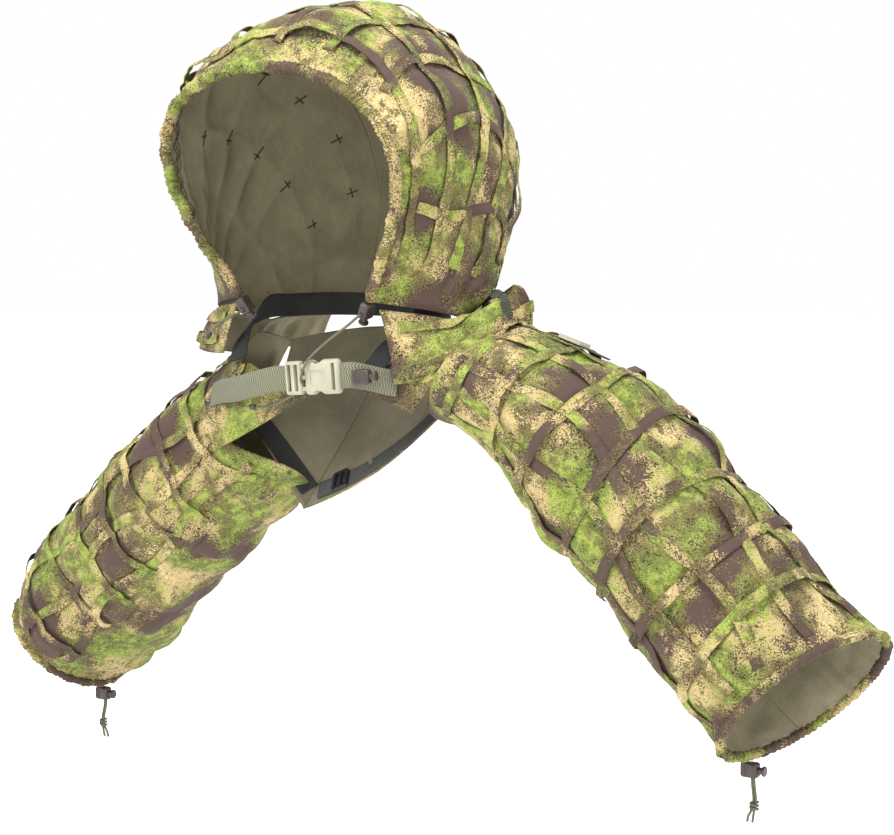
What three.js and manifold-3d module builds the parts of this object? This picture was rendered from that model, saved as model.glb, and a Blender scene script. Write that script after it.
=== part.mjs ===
// Ghillie hood garment: a hood, a short shoulder yoke with a back panel, and two half sleeves.
// Millimetres, +Z up, the wearer faces -Y and the wearer's left hand is at +X.
// The origin is at the middle of the base of the neck, where the wearer's shoulders carry the garment.
import * as THREE from "three";
import { mergeVertices } from "three/addons/utils/BufferGeometryUtils.js";
import Module from "manifold-3d";

const wasm = await Module();
wasm.setup();

// ---------- driving dimensions ----------
const CLOTH = 2.0; // thickness of a cloth panel with its hems
const SEAM_GAP = 0.35; // clearance between two pieces that are sewn or laid edge to edge
const STRIP_WIDTH = 11; // garnish strips
const STRIP_THICK = 1.1;
const STRIP_STEP = 0.8; // clearance below each layer of strips
const WEBBING_WIDTH = 25;
const WEBBING_THICK = 1.6;
const CORD_DIAMETER = 2.6;
const CORD_PAIR = 5.0; // two cords side by side, tied together

const FACE_HALF_WIDTH = 140; // face opening
const FACE_TOP = 250;
const FACE_FRONT = -128; // how far the brim stands ahead of the neck
const HOOD_HALF_WIDTH = 154;
const CROWN_HEIGHT = 311;
const HOOD_BACK = 186; // back of the hood behind the neck's centre
const FACE_HEM = 11; // hem channel across its flat side

const SLEEVE_HALF_WIDTH = 86; // fore and aft, half
const SLEEVE_HALF_HEIGHT = 84;
const CUFF_SHARE = 1.0; // cuff width as a share of the sleeve's
const CUFF_HEM = 9; // hem channel around the cuff, across its flat side
// Each side hangs its own way: the wearer's left shoulder rides high and the right one has slipped down.
const SIDES = {
  left: {
    sign: 1,
    seamTop: [174, 18, 2], // top of the sleeve seam
    mouthHalfHeight: 56,
    mouthTilt: 24, // degrees that the mouth's lower edge turns inwards
    leadDrop: 12, // degrees below level that the sleeve sets off at
    cuff: [486, 62, -336], // middle of the cuff
    cuffTurn: 41, // degrees below level that the cuff faces
    cuffYaw: 16, // degrees that the cuff faces forwards
    cinch: 1.02, // how far the cuff's drawcord leaves it open
    armhole: [[158, 52, -30], [173, 18, 2], [157, -42, -34], [128, -62, -86]],
    chestTip: [62, -78, -56], // front corner of the shoulder piece, under the chest strap
    skirtReach: [24, 64],
    skirtFall: [56, -34],
    skirtDrop: 1.3, // how far below the hood's edge the skirt's seam lies
  },
  right: {
    sign: -1,
    seamTop: [-168, 18, -60],
    mouthHalfHeight: 80,
    mouthTilt: 36,
    leadDrop: 36,
    cuff: [-452, 86, -386],
    cuffTurn: 44,
    cuffYaw: -6,
    cinch: 0.82,
    armhole: [[-151, 50, -78], [-167.4, 18, -60], [-149, -36, -82], [-114, -62, -137]],
    chestTip: [22, -80, -72],
    skirtReach: [14, 42],
    skirtFall: [52, 38],
    skirtDrop: 0.3,
  },
};

const BACK_TIP = [-54, 4, -202]; // lowest point of the back panel, which hangs to the wearer's right
const BACK_CORNERS = { left: [116, 14, -92], right: [-112, -4, -118] };
const BACK_BULGE = 14; // how far its left lower edge bows out below a straight line
const EDGE_WEBBING = 18; // elastic webbing along the back panel's lower edges
const EDGE_THICK = 1.4;
const NAPE_WEBBING = 24;

const BUCKLE_WIDTH = 34;
const BUCKLE_THICK = 10;
const FEMALE_LENGTH = 42;
const MALE_LENGTH = 20;
const BUCKLE_SLOT = 4; // clear gap between the two buckle halves' outer edges

const LOCK_WIDTH = 15; // cord lock housing
const LOCK_DEPTH = 11;
const LOCK_HEIGHT = 18;
const LOCK_BORE = 3.6;
const LOCK_TRAVEL = 4;
const LOCK_RUNNING = 0.3; // plunger clearance in its bore

const COLORS = {
  camo: 0x7f8048,
  reverse: 0x6f6a4d,
  strip: 0x8a8c4e,
  webbing: 0x69695a,
  black: 0x1c1e1c,
  khaki: 0xc8c2ab,
  brown: 0x55423f,
  cord: 0x63624c,
  steel: 0xa4a6a8,
};

const suit = new THREE.Group();

function addMesh(name, geometry, color, roughness = 0.85, metalness = 0) {
  const material = new THREE.MeshStandardMaterial({ color, roughness, metalness });
  const mesh = new THREE.Mesh(geometry, material);
  mesh.name = name;
  suit.add(mesh);
  return mesh;
}

// ---------- helpers ----------
const lerp = THREE.MathUtils.lerp;
const radians = THREE.MathUtils.degToRad;
const vec = (x, y, z) => new THREE.Vector3(x, y, z);

// Unit normal of a surface function at (u, v), pointing out of the garment. A surface whose u and v run the other
// way round says so with facing = -1.
function surfaceNormal(surface, u, v) {
  const step = 0.004;
  const alongU = surface(u + step, v).sub(surface(u - step, v));
  const alongV = surface(u, v + step).sub(surface(u, v - step));
  return alongU.cross(alongV).normalize().multiplyScalar(surface.facing ?? 1);
}

function facing(surface, way) {
  surface.facing = way;
  return surface;
}

// Closed solid between two copies of a grid of points, with walls along its border.
function closedGrid(outer, inner, loop = false) {
  const rows = outer.length;
  const columns = outer[0].length;
  const positions = [];
  for (const grid of [outer, inner]) {
    for (const row of grid) for (const point of row) positions.push(point.x, point.y, point.z);
  }
  const index = [];
  const at = (side, r, c) => (side * rows + r) * columns + (c % columns);
  const quad = (a, b, c, d) => index.push(a, b, c, a, c, d);
  const lastColumn = loop ? columns : columns - 1;
  for (let r = 0; r < rows - 1; r++) {
    for (let c = 0; c < lastColumn; c++) {
      quad(at(0, r, c), at(0, r, c + 1), at(0, r + 1, c + 1), at(0, r + 1, c));
      quad(at(1, r, c), at(1, r + 1, c), at(1, r + 1, c + 1), at(1, r, c + 1));
    }
  }
  for (let c = 0; c < lastColumn; c++) {
    quad(at(0, 0, c + 1), at(0, 0, c), at(1, 0, c), at(1, 0, c + 1));
    quad(at(0, rows - 1, c), at(0, rows - 1, c + 1), at(1, rows - 1, c + 1), at(1, rows - 1, c));
  }
  if (!loop) {
    for (let r = 0; r < rows - 1; r++) {
      quad(at(0, r, 0), at(0, r + 1, 0), at(1, r + 1, 0), at(1, r, 0));
      quad(at(0, r + 1, columns - 1), at(0, r, columns - 1), at(1, r, columns - 1), at(1, r + 1, columns - 1));
    }
  }
  const geometry = new THREE.BufferGeometry();
  geometry.setAttribute("position", new THREE.Float32BufferAttribute(positions, 3));
  geometry.setIndex(index);
  return outwards(geometry);
}

// Turns a closed geometry right side out if its volume comes out negative.
function outwards(geometry) {
  const position = geometry.attributes.position;
  const index = geometry.index.array;
  const [a, b, c] = [vec(0, 0, 0), vec(0, 0, 0), vec(0, 0, 0)];
  let volume = 0;
  for (let i = 0; i < index.length; i += 3) {
    a.fromBufferAttribute(position, index[i]);
    b.fromBufferAttribute(position, index[i + 1]);
    c.fromBufferAttribute(position, index[i + 2]);
    volume += a.dot(b.clone().cross(c));
  }
  if (volume < 0) {
    const flipped = Array.from(index);
    for (let i = 0; i < flipped.length; i += 3) [flipped[i], flipped[i + 1]] = [flipped[i + 1], flipped[i]];
    geometry.setIndex(flipped);
  }
  return geometry;
}

// Cloth panel: the part of a surface between two values of u and of v, from `top` to `bottom` off it.
function panel(surface, { u = [0, 1], v = [0, 1], cells = [10, 10], top = 0, bottom = -CLOTH }) {
  const outer = [];
  const inner = [];
  for (let r = 0; r <= cells[1]; r++) {
    const outerRow = [];
    const innerRow = [];
    for (let c = 0; c <= cells[0]; c++) {
      const pu = lerp(u[0], u[1], c / cells[0]);
      const pv = lerp(v[0], v[1], r / cells[1]);
      const normal = surfaceNormal(surface, pu, pv);
      outerRow.push(surface(pu, pv).addScaledVector(normal, top));
      innerRow.push(surface(pu, pv).addScaledVector(normal, bottom));
    }
    outer.push(outerRow);
    inner.push(innerRow);
  }
  return closedGrid(outer, inner);
}

// Flat strip of a given width that follows `path`, a function from 0..1 to {u, v} on a surface, lying `lift`
// above it. It stays level across its width, as a strip under tension does.
function stripOn(surface, path, { width = STRIP_WIDTH, thick = STRIP_THICK, lift = STRIP_STEP, steps = 20 }) {
  const rows = [];
  const step = 0.004;
  for (let i = 0; i <= steps; i++) {
    const t = i / steps;
    const place = path(t);
    const before = path(Math.max(0, t - step));
    const after = path(Math.min(1, t + step));
    const point = surface(place.u, place.v);
    const normal = surfaceNormal(surface, place.u, place.v);
    const along = surface(after.u, after.v).sub(surface(before.u, before.v)).normalize();
    const across = normal.clone().cross(along).normalize();
    const half = width / 2;
    const low = point.clone().addScaledVector(normal, lift);
    const high = point.clone().addScaledVector(normal, lift + thick);
    const edges = (centre) => [-half, half].map((reach) => centre.clone().addScaledVector(across, reach));
    rows.push({ low: edges(low), high: edges(high) });
  }
  return closedGrid(rows.map((row) => row.high), rows.map((row) => row.low));
}

// Tube or band along a smooth path: section is a list of [x, y] points.
function sweep(points, section, steps, closed = false) {
  const curve = new THREE.CatmullRomCurve3(points, closed, "centripetal");
  const shape = new THREE.Shape(section.map(([x, y]) => new THREE.Vector2(x, y)));
  return new THREE.ExtrudeGeometry(shape, { steps, extrudePath: curve, curveSegments: 1 });
}

function ring(radius, sides) {
  const points = [];
  for (let i = 0; i < sides; i++) {
    const angle = (i / sides) * Math.PI * 2;
    points.push([radius * Math.cos(angle), radius * Math.sin(angle)]);
  }
  return points;
}

// Webbing band whose middle line follows points and whose flat side faces `outward(t)`.
function bandAlong(points, outward, { width, thick, steps }) {
  const curve = new THREE.CatmullRomCurve3(points, false, "centripetal");
  const outer = [];
  const inner = [];
  for (let i = 0; i <= steps; i++) {
    const t = i / steps;
    const middle = curve.getPointAt(t);
    const along = curve.getTangentAt(t);
    const facing = outward(t).normalize();
    const across = along.clone().cross(facing).normalize();
    const normal = across.clone().cross(along).normalize();
    const rowAt = (height) => [-1, 1].map((side) =>
      middle.clone().addScaledVector(across, (side * width) / 2).addScaledVector(normal, height));
    outer.push(rowAt(thick / 2));
    inner.push(rowAt(-thick / 2));
  }
  return closedGrid(outer, inner);
}

function asSolid(geometry) {
  const bare = geometry.clone();
  bare.deleteAttribute("normal");
  bare.deleteAttribute("uv");
  const merged = mergeVertices(bare, 1e-4);
  const mesh = new wasm.Mesh({
    numProp: 3,
    vertProperties: new Float32Array(merged.attributes.position.array),
    triVerts: new Uint32Array(merged.index.array),
  });
  return new wasm.Manifold(mesh);
}

function asGeometry(solid) {
  const mesh = solid.getMesh();
  const geometry = new THREE.BufferGeometry();
  geometry.setAttribute("position", new THREE.Float32BufferAttribute(mesh.vertProperties, 3));
  geometry.setIndex(Array.from(mesh.triVerts));
  return geometry;
}

function cut(base, ...tools) {
  let solid = asSolid(base);
  for (const tool of tools) solid = solid.subtract(asSolid(tool));
  return asGeometry(solid);
}

function join(first, ...others) {
  let solid = asSolid(first);
  for (const other of others) solid = solid.add(asSolid(other));
  return asGeometry(solid);
}

function box(sx, sy, sz, x = 0, y = 0, z = 0) {
  const geometry = new THREE.BoxGeometry(sx, sy, sz);
  geometry.translate(x, y, z);
  return geometry;
}

// Block with rounded corners in plan, extruded along Z from z = 0.
function roundedBlock(width, depth, height, radius) {
  const shape = new THREE.Shape();
  const [x, y] = [width / 2, depth / 2];
  shape.moveTo(-x + radius, -y);
  shape.lineTo(x - radius, -y);
  shape.absarc(x - radius, -y + radius, radius, -Math.PI / 2, 0);
  shape.lineTo(x, y - radius);
  shape.absarc(x - radius, y - radius, radius, 0, Math.PI / 2);
  shape.lineTo(-x + radius, y);
  shape.absarc(-x + radius, y - radius, radius, Math.PI / 2, Math.PI);
  shape.lineTo(-x, -y + radius);
  shape.absarc(-x + radius, -y + radius, radius, Math.PI, 1.5 * Math.PI);
  return new THREE.ExtrudeGeometry(shape, { depth: height, bevelEnabled: false, curveSegments: 2 });
}

function cylinderZ(radius, height, z0, sides = 12) {
  const geometry = new THREE.CylinderGeometry(radius, radius, height, sides);
  geometry.rotateX(Math.PI / 2);
  geometry.translate(0, 0, z0 + height / 2);
  return geometry;
}

// ---------- hood ----------
// The hood is a fan of arches. Arch 0 is the face opening and arch 1 is the nape seam. Each arch runs over the
// head from one foot on the neck seam to the other.
const NECK_FRONT = vec(0, -60, 18);
const NECK_SIDE = vec(0, 28, -4);
const hoodProfile = new THREE.CatmullRomCurve3([
  vec(0, FACE_FRONT, FACE_TOP),
  vec(0, -64, CROWN_HEIGHT - 14),
  vec(0, 22, CROWN_HEIGHT),
  vec(0, 112, CROWN_HEIGHT - 28),
  vec(0, 170, 222),
  vec(0, HOOD_BACK, 140),
  vec(0, 160, 66),
  vec(0, 116, 6),
], false, "centripetal");

// u runs from -1 on the wearer's right neck seam over the crown to 1 on the left, v from the face to the nape.
function hoodSurface(u, v) {
  const inside = THREE.MathUtils.clamp(v, 0, 1);
  const apex = hoodProfile.getPointAt(inside);
  if (v !== inside) apex.addScaledVector(hoodProfile.getTangentAt(inside), (v - inside) * 900);
  const foot = NECK_FRONT.clone().lerp(NECK_SIDE, v);
  const open = radians(lerp(143, 96, Math.min(1, v * 1.3)));
  const belly = Math.sin(Math.PI * Math.min(1, Math.max(0, v)));
  const halfWidth = lerp(FACE_HALF_WIDTH, 112, v * v) + (HOOD_HALF_WIDTH - FACE_HALF_WIDTH + 12) * belly;
  const angle = u * open;
  const rise = (Math.cos(angle) - Math.cos(open)) / (1 - Math.cos(open));
  const height = Math.sign(rise) * Math.abs(rise) ** lerp(0.66, 1, v);
  return vec(
    halfWidth * Math.sin(angle),
    lerp(foot.y, apex.y, height),
    lerp(foot.z, apex.z, height),
  );
}

const GORE = 0.3; // half of the middle gore, as a share of an arch
const HOOD_EDGE = 0.998; // where the hood panels stop short of the neck seam
const ARCH_LENGTH = 350; // half of an arch, for turning a gap into a share of it
const hoodGap = SEAM_GAP / ARCH_LENGTH;
const goreSpan = [-GORE + hoodGap, GORE - hoodGap];
const hoodSpan = [0.004, 0.996];
addMesh("hood_middle_gore", panel(hoodSurface, { u: goreSpan, v: hoodSpan, cells: [5, 13] }), COLORS.camo);
for (const [side, sign] of [["left", 1], ["right", -1]]) {
  const span = [sign * (GORE + hoodGap), sign * HOOD_EDGE];
  addMesh(`hood_side_${side}`, panel(hoodSurface, { u: span, v: hoodSpan, cells: [9, 13] }), COLORS.camo);
}

// Hem channel around the face opening, ahead of the panels' front edge.
function hoodHemLine() {
  const points = [];
  const count = 24;
  for (let i = 0; i <= count; i++) {
    const u = lerp(-HOOD_EDGE, HOOD_EDGE, i / count);
    const edge = hoodSurface(u, 0.004);
    const forward = edge.clone().sub(hoodSurface(u, 0.03)).normalize();
    const normal = surfaceNormal(hoodSurface, u, 0.004);
    points.push(edge.addScaledVector(forward, FACE_HEM / 2 + 2 * SEAM_GAP).addScaledVector(normal, -CLOTH / 2));
  }
  return points;
}
const hemLine = hoodHemLine();
addMesh("face_hem_channel", sweep(hemLine, ring(FACE_HEM / 2, 7), 30), COLORS.camo);

// Garnish strips on the hood: long ones run front to back, cross ones run ear to ear above them.
const LONG_LIFT = STRIP_STEP;
const CROSS_LIFT = LONG_LIFT + STRIP_THICK + STRIP_STEP;
const SLEEVE_LONG_LIFT = 1.15;
const SLEEVE_RING_LIFT = SLEEVE_LONG_LIFT + STRIP_THICK + STRIP_STEP;
for (const [name, u] of [["left", 0.42], ["middle", 0.0], ["right", -0.42]]) {
  const path = (t) => ({ u: u + 0.05 * Math.sin(3 * Math.PI * t), v: lerp(0.05, 0.93, t) });
  addMesh(`hood_long_strip_${name}`, stripOn(hoodSurface, path, { lift: LONG_LIFT, steps: 22 }), COLORS.strip);
}
for (const [name, v] of [["front", 0.2], ["rear", 0.58]]) {
  const path = (t) => ({ u: lerp(-0.9, 0.9, t), v: v + 0.02 * Math.sin(4 * Math.PI * t) });
  addMesh(`hood_cross_strip_${name}`, stripOn(hoodSurface, path, { lift: CROSS_LIFT, steps: 32 }), COLORS.strip);
}

// Collar skirt: a flap on each side that hangs from the hood's lower edge over the shoulder. Its seam follows the
// neck seam back to the nape arch, then the nape arch towards the middle.
const SKIRT_CORNER = 0.45; // share of the skirt's length at which its seam turns onto the nape arch
const SKIRT_END = 0.45; // how near the middle of the nape it ends, as a share of the arch
function skirtSurface({ sign, skirtReach, skirtFall, skirtDrop }) {
  const seamAt = (t) => {
    if (t < SKIRT_CORNER) return hoodSurface(sign, t / SKIRT_CORNER);
    return hoodSurface(sign * lerp(1, SKIRT_END, (t - SKIRT_CORNER) / (1 - SKIRT_CORNER)), 1);
  };
  const surface = (u, v) => {
    const top = seamAt(u);
    const t = THREE.MathUtils.clamp(u, 0, 1);
    const out = vec(top.x * 0.9, top.y * 0.55, 0).normalize();
    top.addScaledVector(out, lerp(...skirtReach, Math.sin(Math.PI * 0.5 * t)) * v);
    const fall = lerp(...skirtFall, THREE.MathUtils.smoothstep(t, 0, 0.8 * SKIRT_CORNER));
    top.z -= fall * v * (0.7 + 0.3 * v) + skirtDrop;
    return top;
  };
  return facing(surface, -sign);
}

for (const [side, place] of Object.entries(SIDES)) {
  const span = { u: [0.01, 0.98], v: [0.012, 1], cells: [10, 2] };
  addMesh(`collar_skirt_${side}`, panel(skirtSurface(place), span), COLORS.camo);
}

// ---------- yoke ----------
// Back panel: hangs from the nape between the shoulders and ends in a point.
function backSurface(u, v) {
  const top = vec(102 * u, 50 + 54 * (1 - u * u), -26 + 16 * (1 - u * u));
  const point = 1 - Math.abs(u);
  const corner = vec(...(u > 0 ? BACK_CORNERS.left : BACK_CORNERS.right));
  const bottom = corner.lerp(vec(...BACK_TIP), point);
  if (u > 0) bottom.z -= BACK_BULGE * Math.sin(Math.PI * point);
  const place = top.lerp(bottom, v);
  place.y += 10 * Math.sin(Math.PI * v);
  return place;
}
const BACK_MIDDLE = 0.009; // and this share short of the middle seam
const BACK_SIDE = 0.9925; // the panel stops this share of the way to the shoulder seam
const backWall = { v: [0.02, 0.985], cells: [7, 6] };
addMesh("back_panel_left", panel(backSurface, { ...backWall, u: [BACK_MIDDLE, BACK_SIDE] }), COLORS.reverse);
addMesh("back_panel_right", panel(backSurface, { ...backWall, u: [-BACK_SIDE, -BACK_MIDDLE] }), COLORS.reverse);

// Elastic webbing on the inner face of the back panel's two lower edges.
function edgeBand(sign) {
  const share = (t) => sign * lerp(0.95, 0.1, t);
  const normal = (t) => surfaceNormal(backSurface, share(t), EDGE_MIDDLE);
  const points = [];
  for (let i = 0; i <= 8; i++) {
    points.push(backSurface(share(i / 8), EDGE_MIDDLE).addScaledVector(normal(i / 8), -EDGE_OFFSET));
  }
  return bandAlong(points, normal, {
    width: EDGE_WEBBING,
    thick: EDGE_THICK,
    steps: 12,
  });
}
const EDGE_OFFSET = CLOTH + EDGE_THICK / 2 + 3 * SEAM_GAP;
const EDGE_MIDDLE = 0.91; // v of the webbing's middle line
addMesh("back_edge_webbing_left", edgeBand(1), COLORS.black, 0.8);
addMesh("back_edge_webbing_right", edgeBand(-1), COLORS.black, 0.8);

// Shoulder pieces: from the neck edge over the shoulder to the armhole. u runs from back to front.
function shoulderSurface({ sign, armhole, chestTip }) {
  const neck = new THREE.CatmullRomCurve3([
    backSurface(sign, 0),
    vec(sign * 106, 28, -20),
    vec(sign * 103, -6, -16),
    vec(sign * 96, -42, -34),
    vec(...chestTip),
  ], false, "centripetal");
  const hem = [backSurface(sign, 1), ...armhole.map((p) => vec(...p))];
  const arm = new THREE.CatmullRomCurve3(hem, false, "centripetal");
  const surface = (u, v) => {
    const t = THREE.MathUtils.clamp(u, 0, 1);
    const start = neck.getPoint(t);
    const end = arm.getPoint(t);
    const stray = arm.getTangent(t).multiplyScalar((u - t) * 150);
    return start.lerp(end, v).add(stray);
  };
  return facing(surface, sign);
}
for (const [side, place] of Object.entries(SIDES)) {
  const span = { u: [0.004, 0.99], v: [0.02, 1], cells: [12, 4] };
  addMesh(`shoulder_${side}`, panel(shoulderSurface(place), span), COLORS.camo);
}

// Black webbing that stiffens the neck edge from one chest strap around the nape to the other.
const napePoints = [
  vec(-85, -62, -41), vec(-92, -38, -14), vec(-95, 0, 8), vec(-94, 44, 9), vec(-68, 92, 9), vec(0, 113, 8),
  vec(68, 92, 9), vec(94, 44, 9), vec(95, 0, 8), vec(92, -38, -14), vec(85, -62, -41),
];
const napeFacing = (t) => vec(Math.cos(Math.PI * (t + 0.5)) * 1.1, -Math.cos(2 * Math.PI * t) * 0.9, 0);
addMesh("nape_webbing", bandAlong(napePoints, napeFacing, {
  width: NAPE_WEBBING,
  thick: WEBBING_THICK,
  steps: 40,
}), COLORS.black, 0.8);

// ---------- sleeves ----------
// u runs once around the sleeve from its underside over the front, v from the armhole to the cuff.
function sleeveFrame({ sign, seamTop, mouthHalfHeight, mouthTilt, leadDrop, cuff, cuffTurn, cuffYaw }) {
  const tilt = radians(mouthTilt);
  const turn = radians(cuffTurn);
  const mouthUp = vec(sign * Math.sin(tilt), 0, Math.cos(tilt));
  const mouth = vec(...seamTop).addScaledVector(mouthUp, -mouthHalfHeight);
  const cuffUp = vec(sign * Math.sin(turn), 0, Math.cos(turn));
  const drop = radians(leadDrop);
  const lead = vec(sign * Math.cos(drop), 0, -Math.sin(drop)).multiplyScalar(130);
  const follow = vec(sign * Math.cos(turn), 0, -Math.sin(turn)).multiplyScalar(-120);
  const end = vec(...cuff);
  const line = new THREE.CubicBezierCurve3(mouth, mouth.clone().add(lead), end.clone().add(follow), end);
  const yaw = radians(cuffYaw);
  const cuffFront = vec(-sign * Math.sin(yaw), -Math.cos(yaw), 0);
  return { line, mouthUp, cuffUp, cuffFront };
}

function sleeveSurface(place) {
  const { line, mouthUp, cuffUp, cuffFront } = sleeveFrame(place);
  const mouthFront = vec(0, -1, 0);
  const surface = (u, v) => {
    const t = THREE.MathUtils.clamp(v, 0, 1);
    const middle = line.getPointAt(t).addScaledVector(line.getTangentAt(t), (v - t) * 400);
    const up = mouthUp.clone().lerp(cuffUp, t).normalize();
    const grow = THREE.MathUtils.smoothstep(t, 0, 0.4);
    const narrow = lerp(1, CUFF_SHARE, t) * lerp(1, place.cinch, THREE.MathUtils.smoothstep(t, 0.8, 1.02));
    const high = lerp(place.mouthHalfHeight, SLEEVE_HALF_HEIGHT, grow) * narrow;
    const wide = lerp(SLEEVE_HALF_WIDTH * 0.84, SLEEVE_HALF_WIDTH, grow) * narrow;
    const angle = 2 * Math.PI * u;
    const front = mouthFront.clone().lerp(cuffFront, t * t).normalize();
    return middle.addScaledVector(up, -high * Math.cos(angle)).addScaledVector(front, wide * Math.sin(angle));
  };
  return facing(surface, -place.sign);
}

const SLEEVE_ROUND = 540; // around a sleeve, for turning a gap into a share of it
const sleeveGap = SEAM_GAP / SLEEVE_ROUND;
const SLEEVE_SEAMS = [0.11, 0.89]; // the upper piece is wide and the under piece narrow
for (const [side, place] of Object.entries(SIDES)) {
  const surface = sleeveSurface(place);
  const [front, rear] = SLEEVE_SEAMS;
  const along = [0.0004, 0.996];
  const upper = { u: [front + sleeveGap, rear - sleeveGap], v: along, cells: [18, 11] };
  const under = { u: [rear + sleeveGap - 1, front - sleeveGap], v: along, cells: [5, 11] };
  addMesh(`sleeve_upper_${side}`, panel(surface, upper), COLORS.camo);
  addMesh(`sleeve_under_${side}`, panel(surface, under), COLORS.camo);
}

// Hem channel around each cuff; the drawcord runs inside it.
function cuffHemLine(place) {
  const surface = sleeveSurface(place);
  const points = [];
  const count = 20;
  for (let i = 0; i < count; i++) {
    const u = i / count;
    const edge = surface(u, 0.996);
    const beyond = surface(u, 1.03).sub(edge).normalize();
    const inside = surfaceNormal(surface, u, 0.99).multiplyScalar(-CLOTH / 2);
    points.push(edge.addScaledVector(beyond, CUFF_HEM / 2 + 1.6 * SEAM_GAP).add(inside));
  }
  return points;
}
for (const [side, place] of Object.entries(SIDES)) {
  addMesh(`cuff_hem_${side}`, sweep(cuffHemLine(place), ring(CUFF_HEM / 2, 7), 26, true), COLORS.camo);
}

// Garnish strips on the sleeves: ring strips lie over long strips.
const RING_PLACES = { upper: 0.3, lower: 0.72 };
const LONG_PLACES = { front: 0.33, rear: 0.62 };
for (const [side, place] of Object.entries(SIDES)) {
  const surface = sleeveSurface(place);
  for (const [name, u] of Object.entries(LONG_PLACES)) {
    const path = (t) => ({ u: u + 0.03 * Math.sin(4 * Math.PI * t), v: lerp(0.03, 0.97, t) });
    const strip = stripOn(surface, path, { lift: SLEEVE_LONG_LIFT, steps: 16 });
    addMesh(`sleeve_long_strip_${name}_${side}`, strip, COLORS.strip);
  }
  for (const [name, v] of Object.entries(RING_PLACES)) {
    const path = (t) => ({ u: lerp(0.13, 0.87, t), v: v + 0.02 * Math.sin(2 * Math.PI * t) });
    const strip = stripOn(surface, path, { lift: SLEEVE_RING_LIFT, steps: 24 });
    addMesh(`sleeve_ring_strip_${name}_${side}`, strip, COLORS.strip);
  }
}

// ---------- chest strap ----------
const BUCKLE_AT = vec(28, -95, -51);
const BUCKLE_SLOPE = radians(5);
const STRAP_SETBACK = WEBBING_THICK / 2 + 2 * SEAM_GAP; // strap's middle off the cloth it is sewn to

function toBuckle(geometry) {
  geometry.rotateY(-BUCKLE_SLOPE);
  geometry.translate(BUCKLE_AT.x, BUCKLE_AT.y, BUCKLE_AT.z);
  return geometry;
}

function alongBuckle(x) {
  return vec(x * Math.cos(BUCKLE_SLOPE), 0, x * Math.sin(BUCKLE_SLOPE)).add(BUCKLE_AT);
}

// Plate whose outline lies in the XZ plane, centred on y = 0.
function plateXZ(x0, x1, height, thick, radius) {
  const plate = roundedBlock(x1 - x0, height, thick, radius);
  plate.rotateX(Math.PI / 2);
  plate.translate((x0 + x1) / 2, thick / 2, 0);
  return plate;
}

const PRONG_REACH = 26;
const PRONG_THICK = 4.4;
const PRONG_ROOM = 0.5;
const latchAt = (side) => side * (BUCKLE_WIDTH / 2 - 6);

function buckleFemale() {
  const body = plateXZ(0, FEMALE_LENGTH, BUCKLE_WIDTH, BUCKLE_THICK, 4);
  const hollow = box(
    PRONG_REACH + 4, PRONG_THICK + 2 * PRONG_ROOM, BUCKLE_WIDTH - 6, (PRONG_REACH + 4) / 2 - 1, 0, 0,
  );
  const windows = [1, -1].map((side) => box(13, PRONG_THICK + 2 * PRONG_ROOM, 8, 17, 0, side * (BUCKLE_WIDTH / 2)));
  const slot = box(4, BUCKLE_THICK + 2, WEBBING_WIDTH + 1, FEMALE_LENGTH - 6, 0, 0);
  return cut(body, hollow, ...windows, slot);
}

function buckleMale() {
  const left = -BUCKLE_SLOT - MALE_LENGTH;
  const frame = plateXZ(left, -BUCKLE_SLOT, BUCKLE_WIDTH - 1, BUCKLE_THICK - 2, 3);
  const slots = [0.28, 0.7].map((share) =>
    box(4, BUCKLE_THICK, WEBBING_WIDTH + 1, left + MALE_LENGTH * share, 0, 0));
  const arms = [1, -1].map((side) =>
    box(PRONG_REACH + BUCKLE_SLOT - 4, PRONG_THICK, 4, (PRONG_REACH - 4 - BUCKLE_SLOT) / 2, 0, latchAt(side)));
  const heads = [1, -1].map((side) => box(9, PRONG_THICK, 6, 17, 0, side * (BUCKLE_WIDTH / 2 - 6.4)));
  const guide = box(PRONG_REACH + BUCKLE_SLOT - 8, PRONG_THICK - 1, 4, (PRONG_REACH - 8 - BUCKLE_SLOT) / 2, 0, 0);
  return join(cut(frame, ...slots), ...arms, ...heads, guide);
}
addMesh("buckle_female", toBuckle(buckleFemale()), COLORS.khaki, 0.45);
addMesh("buckle_male", toBuckle(buckleMale()), COLORS.khaki, 0.45);

const strapSize = { width: WEBBING_WIDTH, thick: WEBBING_THICK, steps: 10 };
const maleEnd = -BUCKLE_SLOT - MALE_LENGTH - 2 * SEAM_GAP;
const femaleEnd = FEMALE_LENGTH + 2 * SEAM_GAP;
const ahead = vec(0, -1, 0.05);

// Where a strap's end lies on a shoulder piece, and the way the cloth faces there.
function sewnTo(side, u, v) {
  const surface = shoulderSurface(SIDES[side]);
  const normal = surfaceNormal(surface, u, v);
  return { point: surface(u, v).addScaledVector(normal, STRAP_SETBACK), normal };
}
const SEWN_SHARE = 0.3; // share of a strap's length over which it turns from its cloth to face ahead
const strapTurn = (normal, t) => normal.clone().lerp(ahead, Math.min(1, t / SEWN_SHARE));
const sewnRight = sewnTo("right", 0.8, 0.8);
const sewnLeft = sewnTo("left", 0.9, 0.55);
addMesh("chest_strap_right", bandAlong([
  sewnRight.point, sewnRight.point.clone().add(vec(22, -12, 6)), vec(-62, -90, -67),
  alongBuckle(maleEnd - 14), alongBuckle(maleEnd),
], (t) => strapTurn(sewnRight.normal, t), strapSize), COLORS.webbing);
addMesh("chest_strap_left", bandAlong([
  alongBuckle(femaleEnd), alongBuckle(femaleEnd + 14), sewnLeft.point,
], (t) => strapTurn(sewnLeft.normal, 1 - t), strapSize), COLORS.webbing);

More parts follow.
